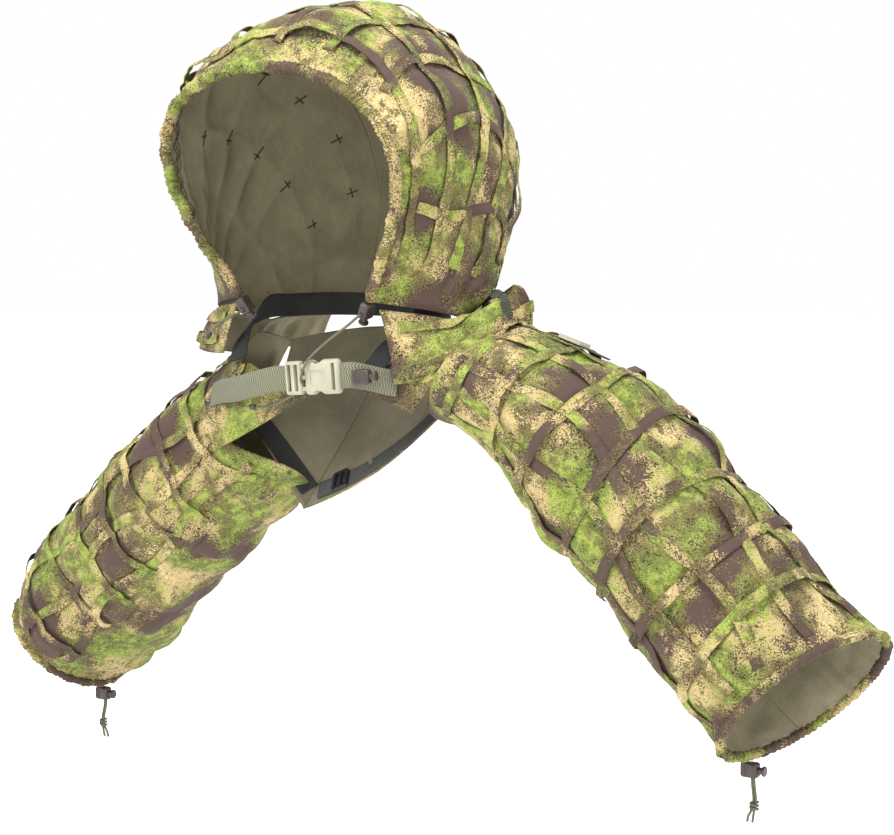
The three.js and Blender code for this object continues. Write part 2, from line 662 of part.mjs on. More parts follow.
// ---------- cord locks ----------
// Housing with a bore open at its top, a sprung plunger, and a cross hole for the cord along local X.
const LOCK_FLOOR = 3;
const PLUNGER_RADIUS = LOCK_BORE - LOCK_RUNNING;
const CORD_HOLE = 1.9;
const SPRING_HEIGHT = 4.6;
const SPRING_WIRE = 0.45;

function crossHole(radius, length, z) {
  const hole = cylinderZ(radius, length, -length / 2, 8);
  hole.rotateY(Math.PI / 2);
  hole.translate(0, 0, z);
  return hole;
}

function lockHousing() {
  const body = roundedBlock(LOCK_WIDTH, LOCK_DEPTH, LOCK_HEIGHT, 3.4);
  const bore = cylinderZ(LOCK_BORE, LOCK_HEIGHT, LOCK_FLOOR);
  return cut(body, bore, crossHole(CORD_HOLE, LOCK_WIDTH + 4, LOCK_HEIGHT - 6));
}

function lockPlunger() {
  const foot = LOCK_FLOOR + SPRING_HEIGHT + SEAM_GAP;
  const top = LOCK_HEIGHT + LOCK_TRAVEL + SEAM_GAP;
  const stem = cylinderZ(PLUNGER_RADIUS, top - foot + 0.5, foot);
  const cap = cylinderZ(LOCK_DEPTH / 2 - 0.4, 2.6, top);
  return cut(join(stem, cap), crossHole(CORD_HOLE - 0.3, LOCK_WIDTH, LOCK_HEIGHT - 6 + LOCK_TRAVEL / 2));
}

function lockSpring() {
  const points = [];
  const turns = 3;
  const perTurn = 7;
  const radius = LOCK_BORE - 1.1;
  for (let i = 0; i <= turns * perTurn; i++) {
    const angle = (i / perTurn) * 2 * Math.PI;
    const rise = lerp(SPRING_WIRE + SEAM_GAP, SPRING_HEIGHT - SPRING_WIRE, i / (turns * perTurn));
    points.push(vec(radius * Math.cos(angle), radius * Math.sin(angle), LOCK_FLOOR + rise));
  }
  return sweep(points, ring(SPRING_WIRE, 4), turns * perTurn);
}

// Places: where the housing's base is, which way its plunger points, and which way its cord runs.
function faceLock(end, before) {
  const along = end.clone().sub(before).normalize();
  return { at: end.clone().addScaledVector(along, 2 * SEAM_GAP), plunger: along, cord: vec(0, -1, 0) };
}

function cuffLock(place) {
  const lowest = cuffHemLine(place)[0];
  const at = lowest.clone().add(vec(-LOCK_HEIGHT / 2, 0, -(CUFF_HEM + LOCK_WIDTH) / 2 - 2 * SEAM_GAP));
  return { at, plunger: vec(1, 0, 0), cord: vec(0, 0, -1) };
}
const LOCKS = {
  face_right: faceLock(hemLine[0], hemLine[1]),
  face_left: faceLock(hemLine.at(-1), hemLine.at(-2)),
  chest: { at: vec(88, -100.6, -48), plunger: vec(1, 0.25, 0.1), cord: vec(0, 0, 1) },
  cuff_left: cuffLock(SIDES.left),
  cuff_right: cuffLock(SIDES.right),
};

function lockFrame({ at, plunger, cord }) {
  const z = plunger.clone().normalize();
  const y = z.clone().cross(cord).normalize();
  const x = y.clone().cross(z);
  return new THREE.Matrix4().makeBasis(x, y, z).setPosition(at);
}
for (const [name, place] of Object.entries(LOCKS)) {
  const frame = lockFrame(place);
  addMesh(`cord_lock_${name}`, lockHousing().applyMatrix4(frame), COLORS.brown, 0.5);
  addMesh(`lock_plunger_${name}`, lockPlunger().applyMatrix4(frame), COLORS.brown, 0.5);
  addMesh(`lock_spring_${name}`, lockSpring().applyMatrix4(frame), COLORS.steel, 0.3, 1);
}

// ---------- webbing adjusters ----------
// Flat frame with two slots, lying on a surface: its X axis follows the webbing and its Y axis is the normal.
function adjuster(length, height, thick, webbing) {
  const frame = plateXZ(-length / 2, length / 2, height, thick, 2.5);
  const slots = [-1, 1].map((side) => box(length * 0.22, thick * 2, webbing, (side * length) / 5, 0, 0));
  return cut(frame, ...slots);
}

function onSurface(point, along, normal) {
  const y = normal.clone().normalize();
  const z = along.clone().cross(y).normalize();
  const x = y.clone().cross(z);
  return new THREE.Matrix4().makeBasis(x, y, z).setPosition(point);
}

const SLIDE_THICK = 3;
const slideUp = surfaceNormal(backSurface, 0.24, EDGE_MIDDLE).negate();
const slidePoint = backSurface(0.24, EDGE_MIDDLE)
  .addScaledVector(slideUp, EDGE_OFFSET + EDGE_THICK / 2 + 2 * SEAM_GAP + SLIDE_THICK / 2);
const slideAlong = backSurface(0.34, EDGE_MIDDLE).sub(backSurface(0.14, EDGE_MIDDLE));
addMesh("back_webbing_slide", adjuster(20, EDGE_WEBBING + 4, SLIDE_THICK, EDGE_WEBBING - 2)
  .applyMatrix4(onSurface(slidePoint, slideAlong, slideUp)), COLORS.black, 0.5);

const SLEEVE_WEBBING = 20;
const SLEEVE_WEBBING_LIFT = 1.0;
const LADDER_THICK = 4;
const ladderSurface = sleeveSurface(SIDES.left);
const LADDER_AT = { u: 0.545, v: 0.16 };
const webbingPath = (t) => ({ u: LADDER_AT.u, v: lerp(0.05, 0.24, t) });
addMesh("sleeve_webbing_left", stripOn(ladderSurface, webbingPath, {
  width: SLEEVE_WEBBING,
  thick: WEBBING_THICK,
  lift: SLEEVE_WEBBING_LIFT,
  steps: 8,
}), COLORS.webbing);
const ladderUp = surfaceNormal(ladderSurface, LADDER_AT.u, LADDER_AT.v);
const ladderPoint = ladderSurface(LADDER_AT.u, LADDER_AT.v)
  .addScaledVector(ladderUp, SLEEVE_WEBBING_LIFT + WEBBING_THICK + 2 * SEAM_GAP + LADDER_THICK / 2);
const ladderAlong = ladderSurface(LADDER_AT.u, LADDER_AT.v + 0.02).sub(ladderSurface(LADDER_AT.u, LADDER_AT.v));
addMesh("sleeve_ladder_lock_left", adjuster(26, SLEEVE_WEBBING + 8, LADDER_THICK, SLEEVE_WEBBING)
  .applyMatrix4(onSurface(ladderPoint, ladderAlong, ladderUp)), COLORS.khaki, 0.45);

// ---------- cords ----------
function cordAlong(points, diameter, steps) {
  return sweep(points.map((p) => vec(...p)), ring(diameter / 2, 8), steps);
}

// The face drawcord's long tail runs from its lock over the buckle, dives between the buckle's halves and ends
// behind the chest strap.
const FACE_TAIL_LEFT = [
  [72.6, -66.15, 9.8], [71, -71.5, 7], [67, -77, 1.5], [60, -84, -6], [51, -91, -15], [42, -97, -24.5],
  [35, -101.7, -33.5], [31, -103.9, -42], [28.6, -104, -49.5], [27.2, -102.2, -54.6], [26.6, -97.6, -57],
  [26.5, -92, -57.6], [25.6, -87.8, -59], [20.5, -85.2, -62], [11, -84.6, -66.5], [0, -84.8, -72],
  [-10, -85.2, -77], [-20, -86, -81], [-31, -86, -83.5], [-42, -85, -84.5],
];
const FACE_TAIL_RIGHT = [
  [-72.6, -65.9, 9.9], [-73.5, -72, 7.5], [-78, -78, 4.5], [-84, -83, 0.5], [-89.5, -87.5, -5], [-93.5, -91, -11],
];
addMesh("face_cord_tail_left", cordAlong(FACE_TAIL_LEFT, CORD_DIAMETER, 32), COLORS.cord);
addMesh("face_cord_tail_right", cordAlong(FACE_TAIL_RIGHT, CORD_DIAMETER, 12), COLORS.cord);

const TOGGLE_LENGTH = 9;
function toggleAt(end, before) {
  const toggle = new THREE.CapsuleGeometry(3.2, TOGGLE_LENGTH - 6.4, 4, 10);
  const along = vec(...end).sub(vec(...before)).normalize();
  toggle.applyQuaternion(new THREE.Quaternion().setFromUnitVectors(vec(0, 1, 0), along));
  const place = vec(...end).addScaledVector(along, TOGGLE_LENGTH / 2 + 2 * SEAM_GAP);
  toggle.translate(place.x, place.y, place.z);
  return toggle;
}
addMesh("cord_toggle_left", toggleAt(FACE_TAIL_LEFT.at(-1), FACE_TAIL_LEFT.at(-2)), COLORS.brown, 0.5);
addMesh("cord_ball_right", toggleAt(FACE_TAIL_RIGHT.at(-1), FACE_TAIL_RIGHT.at(-2)), COLORS.brown, 0.5);

// Each cuff's drawcord ends in a pair of cords knotted together, hanging from its lock.
const CUFF_TAIL = [
  [0, 0, 0], [0.5, 0, -6], [1.5, -0.5, -12], [2.5, -1, -18], [2.6, -1.5, -24], [1.4, -2, -30],
  [-0.8, -2, -36], [-2, -1.5, -42],
];
for (const [side, place] of Object.entries(SIDES)) {
  const lock = cuffLock(place);
  const exit = lock.at.clone().add(vec(LOCK_HEIGHT - 6, 0, -LOCK_WIDTH / 2 - 2 * SEAM_GAP));
  const route = CUFF_TAIL.map(([x, y, z]) => [exit.x + place.sign * x, exit.y + y, exit.z + z]);
  addMesh(`cuff_cord_tail_${side}`, cordAlong(route, CORD_PAIR, 14), COLORS.cord);
}

export default suit;
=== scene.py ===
# %% [markdown]
# # Ghillie hood garment
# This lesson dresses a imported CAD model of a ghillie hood: a hood, a short shoulder yoke with a back panel,
# and two half sleeves. The CAD model says where everything is and how it moves. Here each cloth panel
# becomes a real two-faced cloth with creases, every garnish strip is sewn on, and the small plastic parts
# get their true form.

# %% Load the frame
import math

import bmesh
import bpy
import numpy as np
from mathutils import Matrix, Vector


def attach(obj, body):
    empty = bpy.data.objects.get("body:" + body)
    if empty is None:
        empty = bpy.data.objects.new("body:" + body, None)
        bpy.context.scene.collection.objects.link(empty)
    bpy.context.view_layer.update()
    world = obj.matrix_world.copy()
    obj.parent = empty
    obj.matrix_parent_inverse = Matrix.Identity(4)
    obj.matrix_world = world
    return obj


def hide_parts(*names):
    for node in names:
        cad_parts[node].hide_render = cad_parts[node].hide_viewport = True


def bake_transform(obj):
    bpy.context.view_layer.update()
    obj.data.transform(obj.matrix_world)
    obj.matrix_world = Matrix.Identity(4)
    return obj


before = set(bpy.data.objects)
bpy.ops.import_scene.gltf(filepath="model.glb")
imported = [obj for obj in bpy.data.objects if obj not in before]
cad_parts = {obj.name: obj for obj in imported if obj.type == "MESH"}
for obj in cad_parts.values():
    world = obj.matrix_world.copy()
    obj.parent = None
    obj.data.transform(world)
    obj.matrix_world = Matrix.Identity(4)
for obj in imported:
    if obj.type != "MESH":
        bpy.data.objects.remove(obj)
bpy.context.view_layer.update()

# %% [markdown]
# ## Camera and lights
# The camera stands where the photographer stood: well to the wearer's left and a little above the garment's
# middle. The light is even, as on a studio table with a white background: five large soft discs, the
# strongest of them overhead and the others around the garment, and a white world.

# %% Camera
VIEW_FROM = Vector((1.4288, -1.9278, 0.1519))
VIEW_ALONG = Vector((-0.5561, 0.8245, -0.1045))
LENS = 95.9
camera_data = bpy.data.cameras.new("camera")
camera_data.lens = LENS
camera_data.sensor_width = 36
camera = bpy.data.objects.new("camera", camera_data)
camera.location = VIEW_FROM
camera.rotation_euler = VIEW_ALONG.to_track_quat("-Z", "Y").to_euler()
bpy.context.collection.objects.link(camera)
bpy.context.scene.camera = camera
bpy.context.scene.view_settings.view_transform = "Standard"
print("camera at", tuple(round(c, 2) for c in camera.location))

# %% Lights, backdrop colour and floor
SCENE_MIDDLE = Vector((0.03, 0.03, -0.09))
FLOOR_HEIGHT = -0.53
WORLD_STRENGTH = 1.0


def area_light(name, place, size, power):
    data = bpy.data.lights.new(name, "AREA")
    data.shape = "DISK"
    data.size = size
    data.energy = power
    lamp = bpy.data.objects.new(name, data)
    lamp.location = place
    lamp.rotation_euler = (SCENE_MIDDLE - Vector(place)).to_track_quat("-Z", "Y").to_euler()
    bpy.context.collection.objects.link(lamp)
    return lamp


area_light("light_top", (0.3, -0.7, 1.9), 1.0, 52)
area_light("light_left", (-1.3, -2.3, 0.9), 1.0, 30)
area_light("light_front", (1.3, -2.2, 0.7), 0.8, 14)
area_light("light_right", (2.7, 0.1, 0.9), 1.2, 20)
area_light("light_back", (-0.6, 2.4, 1.5), 1.6, 22)

world = bpy.data.worlds.new("studio")
world.use_nodes = True
world.node_tree.nodes["Background"].inputs["Color"].default_value = (1, 1, 1, 1)
world.node_tree.nodes["Background"].inputs["Strength"].default_value = WORLD_STRENGTH
bpy.context.scene.world = world

bpy.ops.object.select_all(action="DESELECT")
bpy.ops.mesh.primitive_circle_add(vertices=64, radius=9, fill_type="NGON", location=(0, 0, FLOOR_HEIGHT))
floor = bpy.context.object
floor.name = "floor"
print("floor at", FLOOR_HEIGHT)

# %% [markdown]
# ## Shader helper
# A material is a sum over a surface, so it reads best as a sum in Python. The class below wraps a socket:
# adding or multiplying two of them adds the Math node that does it.


# %% Socket arithmetic
class Value:
    """A number that varies over a surface: a socket of a material's node tree."""

    def __init__(self, tree, socket):
        self.tree = tree
        self.socket = socket

    def _math(self, operation, first, second=None):
        sockets = {0: first}
        if second is not None:
            sockets[1] = second
        return self.tree.node("ShaderNodeMath", {"operation": operation}, sockets)["Value"]

    def __add__(self, other):
        return self._math("ADD", self, other)

    def __radd__(self, other):
        return self._math("ADD", other, self)

    def __sub__(self, other):
        return self._math("SUBTRACT", self, other)

    def __rsub__(self, other):
        return self._math("SUBTRACT", other, self)

    def __mul__(self, other):
        return self._math("MULTIPLY", self, other)

    def __rmul__(self, other):
        return self._math("MULTIPLY", other, self)

    def above(self, edge, soft):
        """0 below edge and 1 above it, with a soft step between."""
        settings = {"clamp": True}
        sockets = {"Value": self, "From Min": edge - soft, "From Max": edge + soft}
        return self.tree.node("ShaderNodeMapRange", settings, sockets)["Result"]

    def sine(self):
        return self._math("SINE", self)

    def absolute(self):
        return self._math("ABSOLUTE", self)


class Tree:
    """The node tree of one new material, ending in a Principled BSDF."""

    def __init__(self, name, **constants):
        self.material = bpy.data.materials.new(name)
        self.material.use_nodes = True
        self.nodes = self.material.node_tree.nodes
        self.shader = self.nodes["Principled BSDF"]
        for socket, value in constants.items():
            self.shader.inputs[socket.replace("_", " ")].default_value = value

    def node(self, kind, settings=None, sockets=None):
        made = self.nodes.new(kind)
        for key, value in (settings or {}).items():
            setattr(made, key, value)
        for key, value in (sockets or {}).items():
            self.link(made.inputs[key], value)
        return {out.name: Value(self, out) for out in made.outputs}

    def link(self, socket, value):
        if isinstance(value, Value):
            self.material.node_tree.links.new(socket, value.socket)
        else:
            socket.default_value = value

    def place(self, shift=(0, 0, 0), stretch=(1, 1, 1)):
        coords = self.node("ShaderNodeTexCoord")["Object"]
        sockets = {"Vector": coords, "Location": shift, "Scale": stretch}
        return self.node("ShaderNodeMapping", {}, sockets)["Vector"]

    def noise(self, place, scale, detail=2.0, rough=0.5, distort=0.0):
        sockets = {"Vector": place, "Scale": scale, "Detail": detail, "Roughness": rough,
                   "Distortion": distort}
        return self.node("ShaderNodeTexNoise", {}, sockets)["Fac"]

    def mix(self, factor, low, high):
        made = self.nodes.new("ShaderNodeMix")
        made.data_type = "RGBA"
        self.link(made.inputs["Factor"], factor)
        self.link(made.inputs[6], low)
        self.link(made.inputs[7], high)
        return Value(self, made.outputs[2])

    def bump(self, height, strength, distance):
        sockets = {"Height": height, "Strength": strength, "Distance": distance}
        normal = self.node("ShaderNodeBump", {}, sockets)["Normal"]
        self.link(self.shader.inputs["Normal"], normal)


def linear(red, green, blue):
    """Screen colour from 0 to 255 as the linear colour that a shader wants."""
    channels = []
    for channel in (red, green, blue):
        share = channel / 255
        channels.append(share / 12.92 if share <= 0.04045 else ((share + 0.055) / 1.055) ** 2.4)
    return (*channels, 1)


print("shader helper ready")

# %% [markdown]
# ## Cloth colours
# The outer face is printed with a camouflage of several sizes of speckle: large dark patches, green
# patches, and tan, all broken up at their edges by ever finer dots. Each layer is one noise, pushed about
# by the finer noises before it is cut off, which frays its edge the way the print does. The reverse is
# unprinted olive; on the back panel the reverse is a darker copy of it, with painted shade.

# %% Camouflage and reverse
BROWN = linear(72, 54, 46)
DARK = linear(46, 38, 24)
GREEN = linear(98, 112, 42)
LIME = linear(138, 150, 66)
OLIVE = linear(100, 90, 50)
TAN = linear(170, 150, 102)
CREAM = linear(204, 188, 142)


def camouflage(name, shift):
    tree = Tree(name, Roughness=0.9)
    place = tree.place(shift)
    patch = tree.noise(place, 15, 2, 0.5)
    other = tree.noise(tree.place([s + 3.7 for s in shift]), 17, 2, 0.5)
    third = tree.noise(tree.place([s - 5.1 for s in shift]), 26, 2, 0.5)
    middle = tree.noise(place, 85, 3, 0.65)
    fine = tree.noise(tree.place(shift, (1, 1, 1.6)), 420, 2, 0.65)
    dots = tree.noise(place, 640, 1, 0.5)
    fray = (middle - 0.5) * 0.62 + (fine - 0.5) * 0.75
    color = tree.mix((third + fray).above(0.5, 0.03), OLIVE, TAN)
    color = tree.mix((fine + (middle - 0.5) * 0.5).above(0.6, 0.02), color, CREAM)
    green = (other + fray).above(0.535, 0.02)
    greens = tree.mix((dots + (middle - 0.5)).above(0.53, 0.03), GREEN, LIME)
    color = tree.mix(green, color, greens)
    speck = (dots - (middle - 0.5) * 0.6 + (patch - 0.5) * 0.7).above(0.61, 0.02)
    color = tree.mix(speck, color, DARK)
    brown = (patch + fray * 0.75).above(0.56, 0.015)
    color = tree.mix(brown, color, BROWN)
    tree.link(tree.shader.inputs["Base Color"], color)
    tree.bump(tree.noise(place, 1400, 1), 0.25, 0.0004)
    return tree.material


def plain_cloth(name, color, shade, scale=900):
    tree = Tree(name, Roughness=0.92)
    place = tree.place()
    worn = tree.noise(place, 24, 4, 0.6)
    thread = tree.noise(tree.place((0, 0, 0), (1, 1, 0.3)), scale, 1)
    mixed = tree.mix((worn * 0.6 + thread * 0.4).above(0.5, 0.16), shade, color)
    tree.link(tree.shader.inputs["Base Color"], mixed)
    tree.bump(thread, 0.35, 0.0005)
    return tree.material


CAMO_SHIFTS = {
    "hood_gore": (0.0, 0.0, 0.0),
    "hood_side": (0.31, 0.12, 0.4),
    "skirt": (1.4, 0.6, 0.1),
    "yoke": (2.2, 1.1, 0.7),
    "sleeve_left": (3.05, 0.2, 1.9),
    "sleeve_right": (4.6, 2.5, 0.3),
    "strip": (6.2, 1.7, 2.2),
    "strip_two": (7.9, 0.4, 1.2),
}
camo = {key: camouflage(f"camo_{key}", shift) for key, shift in CAMO_SHIFTS.items()}
reverse_cloth = plain_cloth("cloth_reverse", linear(146, 138, 112), linear(120, 112, 88))
# Painted shade: the back panel's reverse is the same unprinted cloth as cloth_reverse, painted about a fifth
# darker.
yoke_reverse_painted_shade = plain_cloth("cloth_reverse_yoke_painted_shade", linear(116, 109, 88), linear(92, 86, 68))
black_cloth = plain_cloth("webbing_black", linear(38, 40, 38), linear(24, 26, 25), 1500)
dark_elastic = plain_cloth("elastic_dark", linear(70, 70, 66), linear(46, 47, 45), 1500)
thread_dark = plain_cloth("thread_dark", linear(52, 46, 38), linear(34, 30, 24), 2000)
cord_cloth = plain_cloth("cord_olive", linear(108, 108, 84), linear(70, 70, 52), 1800)
print(len(bpy.data.materials), "materials so far")


# %% Webbing, plastic, steel and floor
def webbing_material(name, color, shade, rows, columns):
    """Chevron weave that follows the strap: U runs along it in metres and V across it from 0 to 1."""
    tree = Tree(name, Roughness=0.85)
    uv = tree.node("ShaderNodeTexCoord")["UV"]
    split = tree.node("ShaderNodeSeparateXYZ", {}, {"Vector": uv})
    along, across = split["X"], split["Y"]
    zigzag = ((across * (math.pi * columns)).sine()).absolute()
    weave = (along * rows + zigzag * 4.0).sine()
    tree.link(tree.shader.inputs["Base Color"], tree.mix(weave.above(0.0, 0.7), shade, color))
    tree.bump(weave, 0.7, 0.0006)
    return tree.material


def plastic(name, color, roughness=0.42):
    tree = Tree(name, Roughness=roughness)
    grain = tree.noise(tree.place(), 1600, 1)
    worn = tree.noise(tree.place(), 60, 2)
    darker = tuple(c * 0.82 for c in color[:3]) + (1,)
    tree.link(tree.shader.inputs["Base Color"], tree.mix(worn.above(0.5, 0.25), darker, color))
    tree.bump(grain, 0.12, 0.0002)
    return tree.material


olive_webbing = webbing_material("webbing_olive", linear(128, 128, 106), linear(84, 85, 68), 2300, 4)
tab_webbing = webbing_material("webbing_tab", linear(80, 84, 62), linear(48, 50, 38), 2300, 3)
khaki_plastic = plastic("plastic_khaki", linear(164, 159, 138))
brown_plastic = plastic("plastic_brown", linear(62, 50, 47), 0.35)
black_plastic = plastic("plastic_black", linear(30, 31, 32), 0.4)
steel = Tree("spring_steel", Roughness=0.3, Metallic=1.0, Base_Color=(0.6, 0.6, 0.62, 1)).material
floor_paint = Tree("floor_pale", Roughness=1.0, Base_Color=(0.9, 0.9, 0.9, 1), Emission_Color=(1, 1, 1, 1),
                   Emission_Strength=0.25).material
floor.data.materials.append(floor_paint)
print(len(bpy.data.materials), "materials in all")

# %% [markdown]
# ## The garment's surfaces
# The CAD model hangs its panels on a few smooth surfaces: the hood, a skirt and a shoulder piece on each
# side, the back panel and two sleeves. The same surfaces are written out here in metres, so that fine cloth
# can be laid exactly where the plain CAD cloth is. Every function takes arrays u and v and gives an array
# of points.


# %% Smooth lines
def lerp(low, high, share):
    return low + (high - low) * share


def smooth(value, low, high):
    t = np.clip((value - low) / (high - low), 0, 1)
    return t * t * (3 - 2 * t)


def unit(vectors):
    return vectors / np.linalg.norm(vectors, axis=-1, keepdims=True)


class Line:
    """A smooth line through points, sampled finely. at() goes by point number and along() by length."""

    def __init__(self, samples):
        self.samples = samples
        self.share = np.linspace(0, 1, len(samples))
        steps = np.linalg.norm(np.diff(samples, axis=0), axis=1)
        self.run = np.concatenate([[0], np.cumsum(steps)])
        self.length = self.run[-1]

    def _pick(self, where, scale):
        return np.stack([np.interp(where, scale, self.samples[:, axis]) for axis in range(3)], -1)

    def at(self, t):
        return self._pick(np.clip(t, 0, 1), self.share)

    def along(self, t):
        return self._pick(np.clip(t, 0, 1) * self.length, self.run)

    def heading(self, t, pick="along"):
        step = 0.002
        where = getattr(self, pick)
        t = np.clip(t, 0, 1)
        return unit(where(t + step) - where(t - step))


def through(points, fineness=200):
    """Centripetal Catmull-Rom line through points."""
    points = np.asarray(points, float)
    ends = [2 * points[0] - points[1], *points, 2 * points[-1] - points[-2]]
    samples = []
    for p0, p1, p2, p3 in zip(ends, ends[1:], ends[2:], ends[3:]):
        d0, d1, d2 = (math.sqrt(np.linalg.norm(b - a)) for a, b in ((p0, p1), (p1, p2), (p2, p3)))
        m1 = ((p1 - p0) / d0 - (p2 - p0) / (d0 + d1) + (p2 - p1) / d1) * d1
        m2 = ((p2 - p1) / d1 - (p3 - p1) / (d1 + d2) + (p3 - p2) / d2) * d1
        t = np.linspace(0, 1, fineness, endpoint=False)[:, None]
        bend = (2 * p1 - 2 * p2 + m1 + m2) * t**3 + (3 * p2 - 3 * p1 - 2 * m1 - m2) * t**2
        samples.append(p1 + m1 * t + bend)
    samples.append(points[-1:])
    return Line(np.concatenate(samples))


def bezier(p0, p1, p2, p3):
    t = np.linspace(0, 1, 800)[:, None]
    return Line(p0 * (1 - t) ** 3 + 3 * p1 * t * (1 - t) ** 2 + 3 * p2 * t**2 * (1 - t) + p3 * t**3)


MM = 0.001
mm = lambda *xyz: np.array(xyz, float) * MM
print("lines ready")

# %% Hood surface
FACE_HALF_WIDTH = 0.140
HOOD_HALF_WIDTH = 0.154
NAPE_HALF_WIDTH = 0.112
HOOD_SWELL = 0.012
OPENING_ANGLES = (143, 96)
ARCH_POWER = 0.66
NECK_FRONT = mm(0, -60, 18)
NECK_SIDE = mm(0, 28, -4)
hood_profile = through([
    mm(0, -128, 250), mm(0, -64, 297), mm(0, 22, 311), mm(0, 112, 283),
    mm(0, 170, 222), mm(0, 186, 140), mm(0, 160, 66), mm(0, 116, 6),
])


def hood_surface(u, v):
    u, v = np.broadcast_arrays(np.asarray(u, float), np.asarray(v, float))
    inside = np.clip(v, 0, 1)
    apex = hood_profile.along(inside) + hood_profile.heading(inside) * ((v - inside) * 0.9)[..., None]
    foot = NECK_FRONT + (NECK_SIDE - NECK_FRONT) * v[..., None]
    opening = np.radians(lerp(*OPENING_ANGLES, np.minimum(1, v * 1.3)))
    belly = np.sin(math.pi * inside)
    half_width = lerp(FACE_HALF_WIDTH, NAPE_HALF_WIDTH, v * v)
    half_width = half_width + (HOOD_HALF_WIDTH - FACE_HALF_WIDTH + HOOD_SWELL) * belly
    angle = u * opening
    rise = (np.cos(angle) - np.cos(opening)) / (1 - np.cos(opening))
    height = np.sign(rise) * np.abs(rise) ** lerp(ARCH_POWER, 1, v)
    across = half_width * np.sin(angle)
    y = lerp(foot[..., 1], apex[..., 1], height)
    z = lerp(foot[..., 2], apex[..., 2], height)
    return np.stack([across, y, z], -1)


hood_surface.outward = lambda points: points - mm(0, 30, 140)
print("hood half arch", round(float(np.linalg.norm(hood_surface(0, 0) - hood_surface(1, 0))), 3), "m across")

# %% [markdown]
# ## Left and right
# The two sides of the garment hang differently. In the table below turn_down says how much of a skirt hangs
# straight down beyond v = 1, skirt_span which part of v its cloth covers, and lip how far the mouth of a
# sleeve reaches in towards the chest at its lower front. Lengths in mm() are millimetres and the others are
# metres, tilt, drop, turn and yaw are degrees, and cinch is how much of its width a sleeve keeps at the
# cuff.

# %% Sides of the garment: each hangs its own way
SIDES = {
    "left": {
        "sign": 1, "seam_top": mm(174, 18, 2), "mouth_half": 0.056, "tilt": 24, "drop": 12,
        "cuff": mm(486, 62, -336), "turn": 41, "yaw": 16, "cinch": 1.02,
        "armhole": [mm(158, 52, -30), mm(173, 18, 2), mm(157, -42, -34), mm(128, -62, -86)],
        "chest_tip": mm(62, -78, -56), "reach": (0.024, 0.064), "fall": (0.056, -0.034), "skirt_drop": 0.0013,
        "turn_down": 1.0, "skirt_span": (0.012, 1.62), "lip": 0.02,
    },
    "right": {
        "sign": -1, "seam_top": mm(-168, 18, -60), "mouth_half": 0.080, "tilt": 36, "drop": 36,
        "cuff": mm(-452, 86, -386), "turn": 44, "yaw": -6, "cinch": 0.82,
        "armhole": [mm(-151, 50, -78), mm(-167.4, 18, -60), mm(-149, -36, -82), mm(-114, -62, -137)],
        "chest_tip": mm(22, -80, -72), "reach": (0.014, 0.042), "fall": (0.052, 0.038), "skirt_drop": 0.0003,
        "turn_down": 0.0, "skirt_span": (0.012, 1), "lip": 0.105,
    },
}


HANG_AT_FRONT = 0.3
HANG_LENGTH = 0.072
HANG_OUTWARD = 0.006
HANG_BEND = 0.12


def skirt_surface(side):
    place = SIDES[side]
    sign = place["sign"]

    def surface(u, v):
        u, v = np.broadcast_arrays(np.asarray(u, float), np.asarray(v, float))
        front = hood_surface(sign + 0 * u, u / 0.45)
        rear = hood_surface(sign * lerp(1, 0.45, (u - 0.45) / 0.55), 1 + 0 * u)
        top = np.where((u < 0.45)[..., None], front, rear)
        t = np.clip(u, 0, 1)
        out = unit(top * np.array([0.9, 0.55, 0]))
        reach = lerp(*place["reach"], np.sin(math.pi / 2 * t)) * v
        fall = lerp(*place["fall"], smooth(t, 0, 0.36))
        hang = lerp(HANG_AT_FRONT, 1, smooth(t, 0.10, 0.36)) * place["turn_down"]
        lie = np.minimum(v, 1)
        point = top + out * (reach / np.maximum(v, 1) + HANG_OUTWARD * hang * smooth(v, 0.9, 1.4))[..., None]
        point[..., 2] -= fall * lie * (0.7 + 0.3 * lie) + place["skirt_drop"]
        point[..., 2] -= hang * HANG_LENGTH * np.maximum(v - 1 + HANG_BEND * smooth(v, 0.8, 1.0), 0)
        return point

    surface.outward = lambda points: points * np.array([1, 1, 0]) + mm(0, 0, 60)
    return surface


BACK_BULGE = 0.014
BACK_ROUND = 0.010
BACK_TIP = mm(-54, 4, -202)
BACK_CORNERS = {"left": mm(116, 14, -92), "right": mm(-112, -4, -118)}


def back_surface(u, v):
    u, v = np.broadcast_arrays(np.asarray(u, float), np.asarray(v, float))
    round_top = 1 - u * u
    point = 1 - np.abs(u)
    top = np.stack([0.102 * u, 0.050 + 0.054 * round_top, -0.026 + 0.016 * round_top], -1)
    corner = np.where((u > 0)[..., None], BACK_CORNERS["left"], BACK_CORNERS["right"])
    low = corner + (BACK_TIP - corner) * point[..., None]
    low[..., 2] -= np.where(u > 0, BACK_BULGE * np.sin(math.pi * point), 0)
    place = top + (low - top) * v[..., None]
    place[..., 1] += BACK_ROUND * np.sin(math.pi * v)
    return place


back_surface.outward = lambda points: points * 0 + mm(0, 1, 0.2)


def shoulder_surface(side):
    place = SIDES[side]
    sign = place["sign"]
    neck = through([
        back_surface(sign, 0), mm(sign * 106, 28, -20), mm(sign * 103, -6, -16),
        mm(sign * 96, -42, -34), place["chest_tip"],
    ])
    arm = through([back_surface(sign, 1), *place["armhole"]])

    def surface(u, v):
        u, v = np.broadcast_arrays(np.asarray(u, float), np.asarray(v, float))
        t = np.clip(u, 0, 1)
        start, end = neck.at(t), arm.at(t)
        stray = arm.heading(t, "at") * ((u - t) * 0.15)[..., None]
        return start + (end - start) * v[..., None] + stray

    surface.outward = lambda points: points * 0 + mm(sign * 0.6, 0, 1)
    return surface


SLEEVE_HALF_WIDTH = 0.086
MOUTH_SHARE = 0.84
CUFF_HALF_HEIGHT = 0.084
MOUTH_LEAD = 0.130
CUFF_LEAD = 0.120
LIP_MIDDLE = 0.09
LIP_WIDTH = 0.13
LIP_END = 0.2


